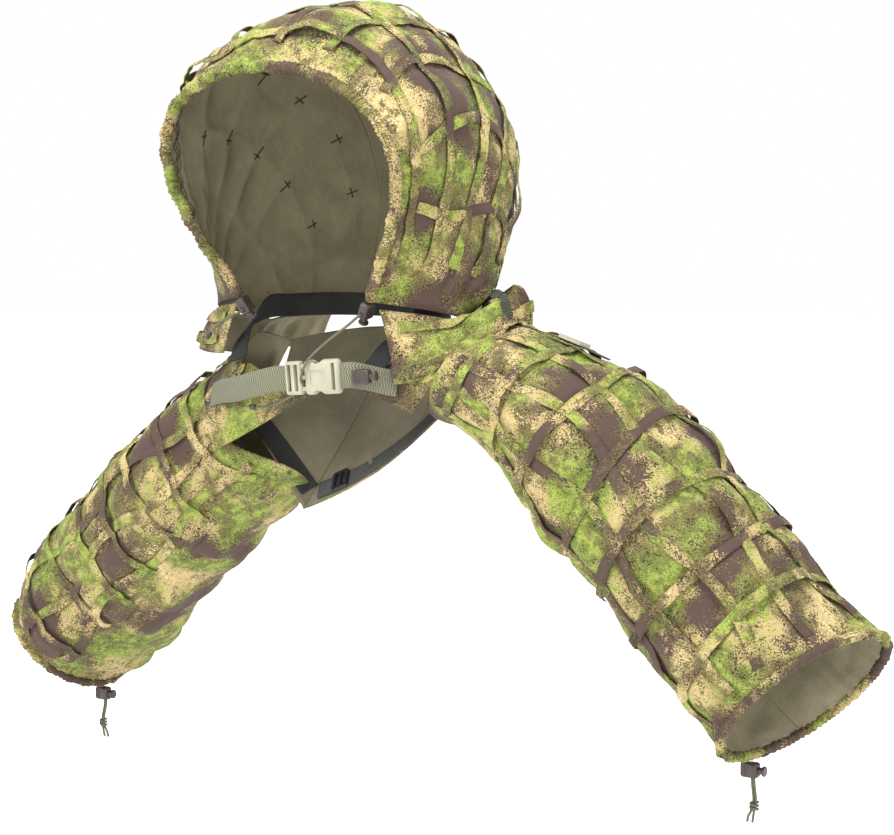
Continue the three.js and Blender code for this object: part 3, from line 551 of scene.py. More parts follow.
def sleeve_surface(side):
    place = SIDES[side]
    sign = place["sign"]
    tilt, turn, drop, yaw = (math.radians(place[key]) for key in ("tilt", "turn", "drop", "yaw"))
    mouth_up = np.array([sign * math.sin(tilt), 0, math.cos(tilt)])
    mouth = place["seam_top"] - mouth_up * place["mouth_half"]
    cuff_up = np.array([sign * math.sin(turn), 0, math.cos(turn)])
    lead = np.array([sign * math.cos(drop), 0, -math.sin(drop)]) * MOUTH_LEAD
    follow = np.array([sign * math.cos(turn), 0, -math.sin(turn)]) * -CUFF_LEAD
    line = bezier(mouth, mouth + lead, place["cuff"] + follow, place["cuff"])
    cuff_front = np.array([-sign * math.sin(yaw), -math.cos(yaw), 0])

    def surface(u, v):
        u, v = np.broadcast_arrays(np.asarray(u, float), np.asarray(v, float))
        lower_front = np.exp(-(((u - LIP_MIDDLE + 0.5) % 1 - 0.5) / LIP_WIDTH) ** 2)
        v = v - place["lip"] * lower_front * (1 - smooth(v, 0, LIP_END))
        t = np.clip(v, 0, 1)
        middle = line.along(t) + line.heading(t) * ((v - t) * 0.4)[..., None]
        up = unit(mouth_up + (cuff_up - mouth_up) * t[..., None])
        grow = smooth(t, 0, 0.4)
        narrow = lerp(1, place["cinch"], smooth(t, 0.8, 1.02))
        high = lerp(place["mouth_half"], CUFF_HALF_HEIGHT, grow) * narrow
        wide = lerp(SLEEVE_HALF_WIDTH * MOUTH_SHARE, SLEEVE_HALF_WIDTH, grow) * narrow
        angle = 2 * math.pi * u
        blend = (t * t)[..., None]
        front = unit(np.array([0, -1.0, 0]) * (1 - blend) + cuff_front * blend)
        return middle - up * (high * np.cos(angle))[..., None] + front * (wide * np.sin(angle))[..., None]

    surface.line = line
    surface.outward = lambda points: points - surface.line.samples[
        np.argmin(np.linalg.norm(points[..., None, :] - line.samples[::40], axis=-1), axis=-1) * 40]
    return surface


SKIRTS = {side: skirt_surface(side) for side in SIDES}
SHOULDERS = {side: shoulder_surface(side) for side in SIDES}
SLEEVES = {side: sleeve_surface(side) for side in SIDES}
for side, surface in SLEEVES.items():
    print(side, "sleeve runs", round(float(surface.line.length), 3), "m")

# %% [markdown]
# ## Creased cloth
# Real cloth is never smooth. A few waves with random directions, added up, give a soft roll, and the same
# waves folded at zero give the sharper creases of a stiff printed cotton. Both read the point in space and
# not the panel, so panels with the same seed crease together at their seam. Every panel is given a relief,
# a function of the point and of its u and v that says how far the cloth stands off its surface; panels of
# one part, such as the hood's three, share it. A panel is a closed mesh: its outer face is printed and its
# inner face shows the reverse.

# %% Ripples
ROLL = {"height": 0.0022, "length": 0.085}
FOLD = {"height": 0.0016, "length": 0.060, "floor": -0.6}
FINE_FOLD = {"height": 0.0007, "length": 0.024, "floor": -0.5}


def waves(points, length, seed, count=7):
    """Soft random height between about -1 and 1 whose bumps are about as long as length."""
    rng = np.random.default_rng(seed)
    total = np.zeros(points.shape[:-1])
    for _ in range(count):
        direction = unit(rng.normal(size=3)) * (2 * math.pi / (length * rng.uniform(0.75, 1.5)))
        total += np.sin(points @ direction + rng.uniform(0, 2 * math.pi))
    return total / math.sqrt(count)


def creases(points, length, seed):
    """Sharp ridges: the ripple folded at zero, high on the fold."""
    bent = points + 0.25 * length * waves(points, length * 1.6, seed + 50)[..., None]
    return 0.55 - np.abs(waves(bent, length, seed, 5))


def crumple(points, seed, amount=1.0):
    roll = ROLL["height"] * waves(points, ROLL["length"], seed)
    fold = FOLD["height"] * np.maximum(creases(points, FOLD["length"], seed + 1), FOLD["floor"])
    fine = np.maximum(creases(points, FINE_FOLD["length"], seed + 2), FINE_FOLD["floor"])
    fine = FINE_FOLD["height"] * fine
    return amount * (roll + fold + fine)


def normals(surface, u, v):
    step = 0.003
    along_u = surface(u + step, v) - surface(u - step, v)
    along_v = surface(u, v + step) - surface(u, v - step)
    normal = unit(np.cross(along_u, along_v))
    outward = surface.outward(surface(u, v))
    way = np.sign(np.sum(np.sum(normal * outward, -1)))
    return normal * way


trial_points = np.random.default_rng(1).uniform(0, 0.4, (999, 3))
print("ripple test", round(float(np.ptp(crumple(trial_points, 3))), 4), "m")


# %% Panel builder
def mesh_object(name, points, faces, materials, face_slots=None, uvs=None):
    """A new mesh object at the origin, smooth shaded, linked and unparented. uvs has one pair per point."""
    mesh = bpy.data.meshes.new(name)
    mesh.from_pydata([tuple(p) for p in np.asarray(points).reshape(-1, 3).tolist()], [], faces)
    for material in materials:
        mesh.materials.append(material)
    if face_slots is not None:
        mesh.polygons.foreach_set("material_index", face_slots)
    if uvs is not None:
        layer = mesh.uv_layers.new(name="UVMap")
        loops = np.empty(len(mesh.loops), np.int32)
        mesh.loops.foreach_get("vertex_index", loops)
        layer.data.foreach_set("uv", np.asarray(uvs, np.float32)[loops].ravel())
    mesh.polygons.foreach_set("use_smooth", np.ones(len(mesh.polygons), bool))
    mesh.update()
    made = bpy.data.objects.new(name, mesh)
    bpy.context.collection.objects.link(made)
    return made


def outward_faces(made):
    """Turns the faces of a closed mesh outwards."""
    work = bmesh.new()
    work.from_mesh(made.data)
    if work.calc_volume(signed=True) < 0:
        bmesh.ops.reverse_faces(work, faces=work.faces)
        work.to_mesh(made.data)
    work.free()
    return made


def grid_faces(rows, columns, base=0, loop=False, flip=False):
    faces = []
    for r in range(rows - 1):
        for c in range(columns if loop else columns - 1):
            d = (c + 1) % columns
            quad = (base + r * columns + c, base + r * columns + d,
                    base + (r + 1) * columns + d, base + (r + 1) * columns + c)
            faces.append(quad[::-1] if flip else quad)
    return faces


def shell(name, outer, inner, materials, uvs=None):
    """Closed cloth between two grids of points: material 0 outside and on the edges, material 1 inside."""
    rows, columns = outer.shape[:2]
    count = rows * columns
    faces = grid_faces(rows, columns)
    slots = [0] * len(faces)
    back = grid_faces(rows, columns, count, flip=True)
    faces += back
    slots += [min(1, len(materials) - 1)] * len(back)
    rim = [r * columns for r in range(rows)]
    rim += [(rows - 1) * columns + c for c in range(1, columns)]
    rim += [r * columns + columns - 1 for r in range(rows - 2, -1, -1)]
    rim += list(range(columns - 2, 0, -1))
    for here, there in zip(rim, rim[1:] + rim[:1]):
        faces.append((here, here + count, there + count, there)[::-1])
        slots.append(0)
    points = np.concatenate([outer.reshape(-1, 3), inner.reshape(-1, 3)])
    return outward_faces(mesh_object(name, points, faces, materials, slots, uvs))


CLOTH = 0.0016
CELL = 0.0034
SKIN_DEPTH = -0.0006
CALM_ZONE = (-0.004, 0.022)
CALM_SHARE = 0.25
SEAM_DIP = {"depth": 0.0011, "width": 0.0028}
SEAM_ROLL = {"height": 0.0006, "middle": 0.0065, "width": 0.0022}


def cloth_panel(name, surface, u, v, look, relief, pinch=(1, 1, 1, 1)):
    """Cloth over part of a surface, raised by relief(points, us, vs). pinch says which edges pull in, in the
    order u start, u end, v start, v end."""
    middle_u, middle_v = sum(u) / 2, sum(v) / 2
    across = surface(np.linspace(*u, 60), middle_v + np.zeros(60))
    down = surface(middle_u + np.zeros(60), np.linspace(*v, 60))
    width = float(np.sum(np.linalg.norm(np.diff(across, axis=0), axis=1)))
    length = float(np.sum(np.linalg.norm(np.diff(down, axis=0), axis=1)))
    columns, rows = max(8, round(width / CELL)), max(8, round(length / CELL))
    us, vs = np.meshgrid(np.linspace(*u, columns), np.linspace(*v, rows))
    base = surface(us, vs)
    normal = normals(surface, us, vs)
    height = relief(base, us, vs)
    edge_u = np.abs(us - u[0]) / abs(u[1] - u[0]) * width
    far_u = width - edge_u
    edge_v = np.abs(vs - v[0]) / abs(v[1] - v[0]) * length
    far_v = length - edge_v
    calm = np.ones_like(height)
    for wanted, distance in zip(pinch, (edge_u, far_u, edge_v, far_v)):
        if wanted:
            calm = calm * smooth(distance, *CALM_ZONE)
            height = height - SEAM_DIP["depth"] * np.exp(-((distance / SEAM_DIP["width"]) ** 2))
            from_roll = (distance - SEAM_ROLL["middle"]) / SEAM_ROLL["width"]
            height = height + SEAM_ROLL["height"] * np.exp(-(from_roll**2))
    outer = base + normal * (height * (CALM_SHARE + (1 - CALM_SHARE) * calm) + SKIN_DEPTH)[..., None]
    inner = outer - normal * CLOTH
    made = shell(name, outer, inner, [look, reverse_cloth])
    down_step, side_step = outer[1:, :-1] - outer[:-1, :-1], outer[:-1, 1:] - outer[:-1, :-1]
    return made


print("panel builder ready")

# %% [markdown]
# ## Hood
# Three panels make the hood: a wide gore over the crown and one side on each side, felled together. The
# face edge is gathered by the drawcord in its hem, so the cloth behind the hem is full of small pleats that
# die out within a few centimetres. Farther back the cloth is held along the strips, which makes it puff up
# like a pillow between them.

# %% Hood panels
GORE = 0.3
GORE_GAP = -0.0002
HOOD_SPAN = (-0.004, 0.998)
SIDE_END = 0.998
HOOD_LENGTH = 0.56
HOOD_SAG = 0.0030
HOOD_PUFF = 0.0066
HOOD_GATHER = 0.0027
GATHER_REACH = 0.026
HOOD_COLUMNS = [-0.98, -0.80, -0.62, -0.42, -0.21, 0.0, 0.21, 0.42, 0.62, 0.80, 0.98]
HOOD_ROWS = [-0.03, 0.075, 0.2, 0.335, 0.46, 0.58, 0.72, 0.86, 0.99]


def pillow(us, vs, columns, rows):
    """How far cloth puffs up between lines of stitching: 0 on a line and 1 midway between two."""
    across = np.interp(us, columns, range(len(columns)))
    down = np.interp(vs, rows, range(len(rows)))
    return np.abs(np.sin(math.pi * across)) ** 0.7 * np.abs(np.sin(math.pi * down)) ** 0.7


def hood_relief(base, us, vs):
    distance = np.maximum(vs, 0) * HOOD_LENGTH
    pleats = np.sin(us * 118 + 2.2 * np.sin(us * 17)) + 0.6 * np.sin(us * 73 + 1.0)
    sag = HOOD_SAG * waves(base, length=0.13, seed=71)
    fullness = 0.75 + 0.4 * waves(base, length=0.09, seed=72)
    puff = HOOD_PUFF * pillow(us, vs, HOOD_COLUMNS, HOOD_ROWS) * fullness
    gather = HOOD_GATHER * pleats * np.exp(-distance / GATHER_REACH)
    return crumple(base, seed=11, amount=0.85) + gather + (sag + puff) * smooth(distance, 0, 0.05)


hood_panels = {
    "hood_middle_gore": (-GORE + GORE_GAP, GORE - GORE_GAP),
    "hood_side_left": (GORE + GORE_GAP, SIDE_END),
    "hood_side_right": (-SIDE_END, -GORE - GORE_GAP),
}
for node, span in hood_panels.items():
    look = camo["hood_gore"] if "gore" in node else camo["hood_side"]
    panel = cloth_panel(f"cloth_{node}", hood_surface, span, HOOD_SPAN, look, hood_relief)
    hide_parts(node)
    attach(panel, "hood")


# %% Gathered hems
def tube(name, centre, radius, look, sides=14, closed=False, ridge=None):
    """Tube along points. radius is one number or one for each point, ridge(t, angle) adds to it in metres."""
    centre = np.asarray(centre)
    count = len(centre)
    if closed:
        heading = unit(np.roll(centre, -1, 0) - np.roll(centre, 1, 0))
    else:
        heading = unit(np.gradient(centre, axis=0))
    side = unit(np.cross(heading[0], [0.1, 0.2, 1.0]))
    frames = []
    for way in heading:
        side = unit(side - way * np.dot(side, way))
        frames.append((side, np.cross(way, side)))
    angles = np.arange(sides) / sides * 2 * math.pi
    rows = []
    for i, (a, b) in enumerate(frames):
        reach = np.full(sides, radius[i] if np.ndim(radius) else radius)
        if ridge is not None:
            reach = reach + ridge(i / count, angles)
        rows.append(centre[i] + np.outer(np.cos(angles) * reach, a) + np.outer(np.sin(angles) * reach, b))
    points = np.array(rows)
    if closed:
        points = np.concatenate([points, points[:1]])
        faces = grid_faces(count, sides, loop=True)
        last = (count - 1) * sides
        faces += [(last + c, last + (c + 1) % sides, (c + 1) % sides, c) for c in range(sides)]
        points = points[:-1]
    else:
        faces = grid_faces(count, sides, loop=True)
        faces.append(tuple(range(sides))[::-1])
        faces.append(tuple((count - 1) * sides + c for c in range(sides)))
    return outward_faces(mesh_object(name, points, faces, [look]))


def scrunch(pleats, depth, seed):
    """Radial folds of a hem that its drawcord has gathered."""
    rng = np.random.default_rng(seed)
    phases = rng.uniform(0, 2 * math.pi, 6)

    def ridge(t, angles):
        turn = 2 * math.pi * pleats * t
        swing = 1.2 * math.sin(5 * turn / pleats + phases[0]) + 0.8 * math.sin(11 * turn / pleats + phases[1])
        folds = np.sin(turn + swing * 3 + angles * 1.0 + phases[2])
        finer = np.sin(1.7 * turn + 2 * angles + phases[3] + swing)
        return depth * (0.65 * folds + 0.35 * finer)

    return ridge


HOOD_HEM_RADIUS = 0.0056
HEM_FORWARD = 0.0046
HEM_WANDER = 0.0011
HEM_SINK = 0.001
hem_u = np.linspace(-0.996, 0.996, 620)
hem_edge = hood_surface(hem_u, 0.004)
hem_forward = unit(hem_edge - hood_surface(hem_u, 0.03))
hem_normal = normals(hood_surface, hem_u, 0.004 + 0 * hem_u)
hem_wander = HEM_WANDER * np.sin(hem_u * 61 + np.sin(hem_u * 23))[:, None]
hem_line = hem_edge + hem_forward * HEM_FORWARD + hem_normal * (hem_wander - HEM_SINK)
face_hem = tube("face_hem_gathered", hem_line, HOOD_HEM_RADIUS, camo["strip_two"], sides=16,
                ridge=scrunch(pleats=120, depth=0.0011, seed=5))
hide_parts("face_hem_channel")
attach(face_hem, "hood")
print("face hem", round(float(np.sum(np.linalg.norm(np.diff(hem_line, axis=0), axis=1))), 3), "m long")

# %% [markdown]
# ## Collar skirts and yoke
# The skirt is a flap that runs from the hood's lower edge over each shoulder. On the left it is turned down
# over the shoulder's edge, and on the right it lies flat. Under it lie the two shoulder pieces, and at the
# back a panel that shows its unprinted side and ends in a point; that side is painted darker than the other
# reverse, as shade inside the garment. All reliefs take us and vs, though two of them need only the point.

# %% Skirts, shoulders and back panel
SKIRT_FOLD = 0.0045
SKIRT_RIPPLE = 0.0022


def skirt_relief(base, us, vs):
    folds = SKIRT_FOLD * np.sin(us * 26 + 1.3) + SKIRT_RIPPLE * np.sin(us * 61 + 0.4)
    return crumple(base, seed=21, amount=0.8) + folds * np.minimum(vs, 1)


def yoke_relief(base, us, vs):
    return crumple(base, seed=31, amount=0.6)


def back_relief(base, us, vs):
    return crumple(base, seed=41, amount=0.7)


for side in SIDES:
    skirt = cloth_panel(f"cloth_collar_skirt_{side}", SKIRTS[side], (0.01, 0.98), SIDES[side]["skirt_span"],
                        camo["skirt"], skirt_relief)
    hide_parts(f"collar_skirt_{side}")
    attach(skirt, "hood")
    shoulder = cloth_panel(f"cloth_shoulder_{side}", SHOULDERS[side], (0.004, 0.99), (0.02, 1), camo["yoke"],
                           yoke_relief)
    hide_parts(f"shoulder_{side}")
    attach(shoulder, "yoke")

for side, span in (("left", (0.001, 0.9925)), ("right", (-0.9925, 0.001))):
    panel = cloth_panel(f"cloth_back_panel_{side}", back_surface, span, (0.02, 0.985), camo["yoke"],
                        back_relief)
    # Painted shade: the back panel's visible reverse gets the darker copy of the reverse cloth.
    panel.data.materials[1] = yoke_reverse_painted_shade
    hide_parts(f"back_panel_{side}")
    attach(panel, "yoke")

# %% [markdown]
# ## Sleeves
# Each half sleeve has a wide upper piece and a narrow under piece. Between the sewn strips the cloth puffs
# up as on the hood, and the cuff is gathered like the face edge. On the left a webbing tab lies along the
# sleeve, so the cloth under it stays flat.

# %% Sleeve panels and cuffs
SLEEVE_SEAMS = (0.11, 0.89)
SLEEVE_GAP = -0.0002
SLEEVE_COLUMNS = [0.02, 0.16, 0.245, 0.33, 0.425, 0.52, 0.62, 0.72, 0.82, 0.98]
SLEEVE_ROWS = [-0.03, 0.055, 0.18, 0.30, 0.44, 0.58, 0.72, 0.86, 0.99]
TAB_U = 0.545
TAB_CLEAR = (0.025, 0.055)
TAB_END = (0.25, 0.32)
SLEEVE_LENGTH = 0.46
SLEEVE_SAG = 0.0034
SLEEVE_PUFF = 0.0072
SLEEVE_GATHER = 0.0022
CUFF_HEM_RADIUS = 0.0046
CUFF_HEM_FORWARD = 0.0040
CUFF_WANDER = 0.0009


def sleeve_relief(side):
    seed = 61 if side == "left" else 67

    def relief(base, us, vs):
        turns = us * 2 * math.pi
        pleats = np.sin(turns * 46 + 2 * np.sin(us * 30)) + 0.6 * np.sin(turns * 29)
        gather = SLEEVE_GATHER * pleats * np.exp(-(1 - vs) * SLEEVE_LENGTH / GATHER_REACH)
        fullness = 0.75 + 0.4 * waves(base, length=0.09, seed=84)
        puff = SLEEVE_PUFF * pillow(us % 1, vs, SLEEVE_COLUMNS, SLEEVE_ROWS) * fullness
        sag = SLEEVE_SAG * waves(base, length=0.11, seed=83)
        height = crumple(base, seed) + gather + (puff + sag) * smooth(1 - vs, 0, 0.1) * smooth(vs, 0, 0.08)
        if side == "left":
            beside = smooth(np.abs(us - TAB_U), *TAB_CLEAR)
            beyond = smooth(vs, *TAB_END)
            height = height * np.maximum(beside, beyond)
        return height

    return relief


SLEEVE_RELIEFS = {side: sleeve_relief(side) for side in SIDES}

for side in SIDES:
    body = f"sleeve_{side}"
    surface = SLEEVES[side]
    front, rear = SLEEVE_SEAMS
    spans = {
        "upper": (front + SLEEVE_GAP, rear - SLEEVE_GAP),
        "under": (rear + SLEEVE_GAP - 1, front - SLEEVE_GAP),
    }
    for part, span in spans.items():
        node = f"sleeve_{part}_{side}"
        panel = cloth_panel(f"cloth_{node}", surface, span, (0.0004, 0.999), camo[body], SLEEVE_RELIEFS[side])
        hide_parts(node)
        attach(panel, body)
    around = np.linspace(0, 1, 420, endpoint=False)
    edge = surface(around, 0.996)
    beyond = unit(surface(around, 1.03) - edge)
    inside = normals(surface, around, 0.99 + 0 * around)
    wander = CUFF_WANDER * np.sin(around * 2 * math.pi * 21)[:, None]
    cuff_line = edge + beyond * CUFF_HEM_FORWARD + inside * (wander - HEM_SINK)
    cuff = tube(f"cuff_hem_gathered_{side}", cuff_line, CUFF_HEM_RADIUS, camo["strip_two"], sides=14,
                closed=True, ridge=scrunch(pleats=90, depth=0.0010, seed=7))
    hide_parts(f"cuff_hem_{side}")
    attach(cuff, body)
print("cloth done")

# %% [markdown]
# ## Garnish strips
# The strips are folded ribbons of the same cloth, stitched along both edges and sewn down only where they
# cross, so grass can be pushed under them. Between two crossings a strip bows off the cloth, and about one
# bow in seven stands up as a loop. Each strip is drawn as a ribbon whose cross-section has two stitched
# valleys. It follows the relief of the cloth under it, and the strips across lie over the ones along.

# %% Ribbon over a surface
STRIP_WIDTH = 0.0112
STRIP_THICK = 0.0011
LOOP_SHARE = 0.14
LOOP_RISE = 2.4
strip_rng = np.random.default_rng(17)


def ribbon(name, middle, normal, width, thick, look, wobble=0.0, twist=0.0):
    """Folded ribbon along middle that faces normal. The top has a stitched valley near each edge."""
    heading = unit(np.gradient(middle, axis=0))
    across = unit(np.cross(normal, heading))
    up = np.cross(heading, across)
    count = len(middle)
    t = np.linspace(0, 1, count)
    phase = strip_rng.uniform(0, 6.28, 3)
    wide = width * (1 + wobble * np.sin(t * 31 + phase[0]) + 0.5 * wobble * np.sin(t * 67 + phase[1]))
    roll = twist * np.sin(t * 19 + phase[2]) + 0.6 * twist * np.sin(t * 43 + phase[1])
    across = across * np.cos(roll)[:, None] + up * np.sin(roll)[:, None]
    up = np.cross(heading, across)
    shares = np.array([-0.5, -0.44, -0.36, -0.28, 0.0, 0.28, 0.36, 0.44, 0.5])
    heights = np.array([0.35, 1.0, 0.55, 0.9, 1.1, 0.9, 0.55, 1.0, 0.35]) * thick
    reach = shares[None, :] * wide[:, None]
    top = middle[:, None] + across[:, None] * reach[..., None] + up[:, None] * heights[None, :, None]
    low = middle[:, None] + across[:, None] * reach[..., None] * 0.98
    return shell(name, top, low, [look])


def bowed_strip(name, surface, relief, path, crossings, look, lift, bow, steps=150, seed=0):
    """Strip along path(t) -> (u, v). It lies lift above the cloth at the crossings, which are values of t,
    and bows up by about bow between them."""
    rng = np.random.default_rng(seed)
    t = np.linspace(0, 1, steps)
    u, v = path(t)
    base = surface(u, v)
    normal = normals(surface, u, v)
    stops = np.array(sorted({0.0, 1.0, *[c for c in crossings if 0.02 < c < 0.98]}))
    heights = np.zeros(steps)
    for start, end in zip(stops, stops[1:]):
        inside = (t >= start) & (t <= end)
        share = (t[inside] - start) / (end - start)
        loose = LOOP_RISE if rng.uniform() < LOOP_SHARE else rng.uniform(0.2, 1.0)
        heights[inside] = bow * loose * np.sin(math.pi * share) ** 1.3
    cloth = relief(base, u, v)
    middle = base + normal * (lift + heights + cloth)[:, None]
    return ribbon(name, middle, normal, STRIP_WIDTH, STRIP_THICK, look, wobble=0.07, twist=0.14)


# %% Strips on the hood
LONG_LIFT = 0.0004
CROSS_LIFT = 0.0016
HOOD_BOW = 0.0022
hood_longs = {
    "outer_left": 0.80, "side_left": 0.62, "left": 0.42, "crown_left": 0.21, "middle": 0.0,
    "crown_right": -0.21, "right": -0.42, "side_right": -0.62, "outer_right": -0.80,
}
hood_crosses = {
    "brim": 0.075, "front": 0.2, "crown": 0.335, "high": 0.46, "rear": 0.58, "low": 0.72, "nape": 0.86,
}
cross_ts = [(v - 0.05) / 0.88 for v in hood_crosses.values()]
long_ts = [(u + 0.9) / 1.8 for u in sorted(hood_longs.values())]
hood_strips = []
for number, (name, u) in enumerate(hood_longs.items()):
    start = 0.05 if abs(u) < 0.7 else 0.10

    def path(t, u=u, start=start, number=number):
        return u + 0.030 * np.sin(9.4 * t + number * 1.7), lerp(start, 0.93, t)

    strip = bowed_strip(f"strip_hood_long_{name}", hood_surface, hood_relief, path, cross_ts, camo["strip"],
                        LONG_LIFT, HOOD_BOW, seed=100 + number)
    if name in ("left", "middle", "right"):
        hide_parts(f"hood_long_strip_{name}")
    hood_strips.append(strip)
for number, (name, v) in enumerate(hood_crosses.items()):
    reach = 0.93 if v < 0.5 else 0.86

    def path(t, v=v, reach=reach, number=number):
        return lerp(-reach, reach, t), v + 0.013 * np.sin(12.6 * t + number * 2.1)

    strip = bowed_strip(f"strip_hood_cross_{name}", hood_surface, hood_relief, path, long_ts,
                        camo["strip_two"], CROSS_LIFT, HOOD_BOW, steps=230, seed=130 + number)
    if name in ("front", "rear"):
        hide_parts(f"hood_cross_strip_{name}")
    hood_strips.append(strip)
for strip in hood_strips:
    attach(strip, "hood")
print(len(hood_strips), "strips on the hood")

# %% Thread seen inside the hood
THREAD_CLEAR = 0.0003
THREAD_BAND = {"width": 0.0013, "thick": 0.0006}
STITCH_BAND = {"width": 0.0008, "thick": 0.0004}
TACK_COLUMNS = (-0.62, -0.42, -0.21, 0.0, 0.21, 0.42, 0.62)
TACK_ROWS = (0.2, 0.335, 0.46, 0.58, 0.72)
TACK_ACROSS = (0.022, 0.002)
TACK_DOWN = (0.001, 0.012)
HEM_STITCH_ROWS = (0.030, 0.044, 0.058)


def inside_hood(u, v):
    """Points on the hood's inner face, a thread's width clear of it, and the way they face."""
    base = hood_surface(u, v)
    normal = normals(hood_surface, u, v)
    raised = hood_relief(base, u, v) + SKIN_DEPTH - CLOTH - THREAD_CLEAR
    return base + normal * raised[:, None], -normal


def bar_tack(name, u, v, half_u, half_v):
    share = np.linspace(-1, 1, 7)
    line, facing = inside_hood(u + half_u * share, v + half_v * share)
    tack = ribbon(name, line, facing, **THREAD_BAND, look=thread_dark)
    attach(tack, "hood")


tack_rng = np.random.default_rng(29)
tack_count = 0
for column in TACK_COLUMNS:
    for row in TACK_ROWS:
        u, v = column + tack_rng.uniform(-0.02, 0.02), row + tack_rng.uniform(-0.012, 0.012)
        bar_tack(f"tack_across_{tack_count}", u, v, *TACK_ACROSS)
        bar_tack(f"tack_down_{tack_count}", u + tack_rng.uniform(-0.01, 0.02), v, *TACK_DOWN)
        tack_count += 1
for row in HEM_STITCH_ROWS:
    line, facing = inside_hood(np.linspace(-0.93, 0.93, 400), row + np.zeros(400))
    seam = ribbon(f"stitching_hood_{row}", line, facing, **STITCH_BAND, look=thread_dark)
    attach(seam, "hood")
print(tack_count, "crosses of thread inside the hood")

# %% Strips on the sleeves
sleeve_longs = {
    "u16": 0.16, "u24": 0.245, "front": 0.33, "u43": 0.425, "top": 0.52, "rear": 0.62, "u72": 0.72,
    "u82": 0.82,
}
sleeve_rings = {
    "head": 0.055, "v18": 0.18, "upper": 0.30, "v44": 0.44, "v58": 0.58, "lower": 0.72, "v86": 0.86,
}
ring_ts = [(v - 0.03) / 0.94 for v in sleeve_rings.values()]
sleeve_long_ts = [(u - 0.13) / 0.74 for u in sleeve_longs.values()]
strip_count = 0
for side in SIDES:
    surface = SLEEVES[side]
    looks = (camo["strip"], camo["strip_two"])
    for number, (name, u) in enumerate(sleeve_longs.items()):
        def path(t, u=u, number=number):
            return u + 0.016 * np.sin(12.5 * t + number * 1.9), lerp(0.03, 0.97, t)

        strip = bowed_strip(f"strip_sleeve_{side}_long_{name}", surface, SLEEVE_RELIEFS[side], path, ring_ts,
                            looks[number % 2], LONG_LIFT, HOOD_BOW, seed=160 + number)
        if name in ("front", "rear"):
            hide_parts(f"sleeve_long_strip_{name}_{side}")
        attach(strip, f"sleeve_{side}")
        strip_count += 1
    for number, (name, v) in enumerate(sleeve_rings.items()):
        def path(t, v=v, number=number):
            return lerp(0.13, 0.87, t), v + 0.014 * np.sin(8 * t + number * 2.3)

        strip = bowed_strip(f"strip_sleeve_{side}_ring_{name}", surface, SLEEVE_RELIEFS[side], path,
                            sleeve_long_ts, looks[(number + 1) % 2], CROSS_LIFT, HOOD_BOW, steps=200,
                            seed=190 + number)
        if name in ("upper", "lower"):
            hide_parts(f"sleeve_ring_strip_{name}_{side}")
        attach(strip, f"sleeve_{side}")
        strip_count += 1
print(strip_count, "strips on the sleeves")

# %% Strips on the skirts and the shoulders
SKIRT_BOW = 0.0020
SHOULDER_BOW = 0.0016
SKIRT_STRIPS = {"left": (0.45, 1.22), "right": (0.36, 0.74)}
for side in SIDES:
    for number, v in enumerate(SKIRT_STRIPS[side]):
        def path(t, v=v):
            return lerp(0.04, 0.9, t), v + 0.06 * np.sin(7 * t + v * 9)

        strip = bowed_strip(f"strip_skirt_{side}_{number}", SKIRTS[side], skirt_relief, path,
                            [0.25, 0.5, 0.75], camo["strip_two"], LONG_LIFT, SKIRT_BOW, seed=220 + number)
        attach(strip, "hood")
    for number, u in enumerate((0.62, 0.8)):
        def path(t, u=u):
            return u + 0.02 * np.sin(6 * t), lerp(0.08, 0.95, t)

        strip = bowed_strip(f"strip_shoulder_{side}_{number}", SHOULDERS[side], yoke_relief, path, [0.5],
                            camo["strip"], LONG_LIFT, SHOULDER_BOW, steps=60, seed=240 + number)
        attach(strip, "yoke")
print("strips done")

# %% [markdown]
# ## Webbing
# Straps are woven bands with a thick edge. They follow the same lines as in the CAD model. Their UV map
# runs along the strap in metres, so that the chevron weave keeps its size around every bend.

# %% Webbing bands
WEBBING_THICK = 0.0016
CHEST_WIDE = 0.025
NAPE_WIDE = 0.024
TAB_WIDE = 0.020
TAB_OFF_SLEEVE = 0.0024
TAB_OFF_SKIRT = 0.0060
SEWN_OFFSET = 0.0015
SEWN_SHARE = 0.3
EDGE_MIDDLE = 0.91
EDGE_OFFSET = 0.0038
EDGE_THICK = 0.0014
BUCKLE_AT = mm(28, -95, -51)
BUCKLE_SLOPE = math.radians(5)
BUCKLE_TURN = Matrix.Translation(Vector(BUCKLE_AT)) @ Matrix.Rotation(-BUCKLE_SLOPE, 4, "Y")


def band(name, middle, normal, width, thick, look, edge=0.35):
    """Flat woven band centred on middle, with rounded edges and a UV map in metres along it."""
    heading = unit(np.gradient(middle, axis=0))
    across = unit(np.cross(heading, normal))
    up = np.cross(across, heading)
    shares = np.array([-0.5, -0.47, -0.25, 0.0, 0.25, 0.47, 0.5])
    heights = np.array([edge, 1.0, 1.0, 1.0, 1.0, 1.0, edge]) * thick / 2
    reach = (shares * width)[None, :, None]
    top = middle[:, None] + across[:, None] * reach + up[:, None] * heights[None, :, None]
    low = middle[:, None] + across[:, None] * reach - up[:, None] * heights[None, :, None]
    run = np.concatenate([[0], np.cumsum(np.linalg.norm(np.diff(middle, axis=0), axis=1))])
    uv = np.stack([np.repeat(run, 7), np.tile(shares + 0.5, len(middle))], -1)
    return shell(name, top, low, [look], np.concatenate([uv, uv]))


def along_buckle(x_mm):
    return BUCKLE_AT + mm(x_mm * math.cos(BUCKLE_SLOPE), 0, x_mm * math.sin(BUCKLE_SLOPE))


def sewn_to(side, u, v):
    surface = SHOULDERS[side]
    normal = normals(surface, np.array([u]), np.array([v]))[0]
    return surface(u, v) + normal * SEWN_OFFSET, normal


AHEAD = np.array([0, -1, 0.05])
right_end, right_normal = sewn_to("right", 0.8, 0.8)
left_end, left_normal = sewn_to("left", 0.9, 0.55)


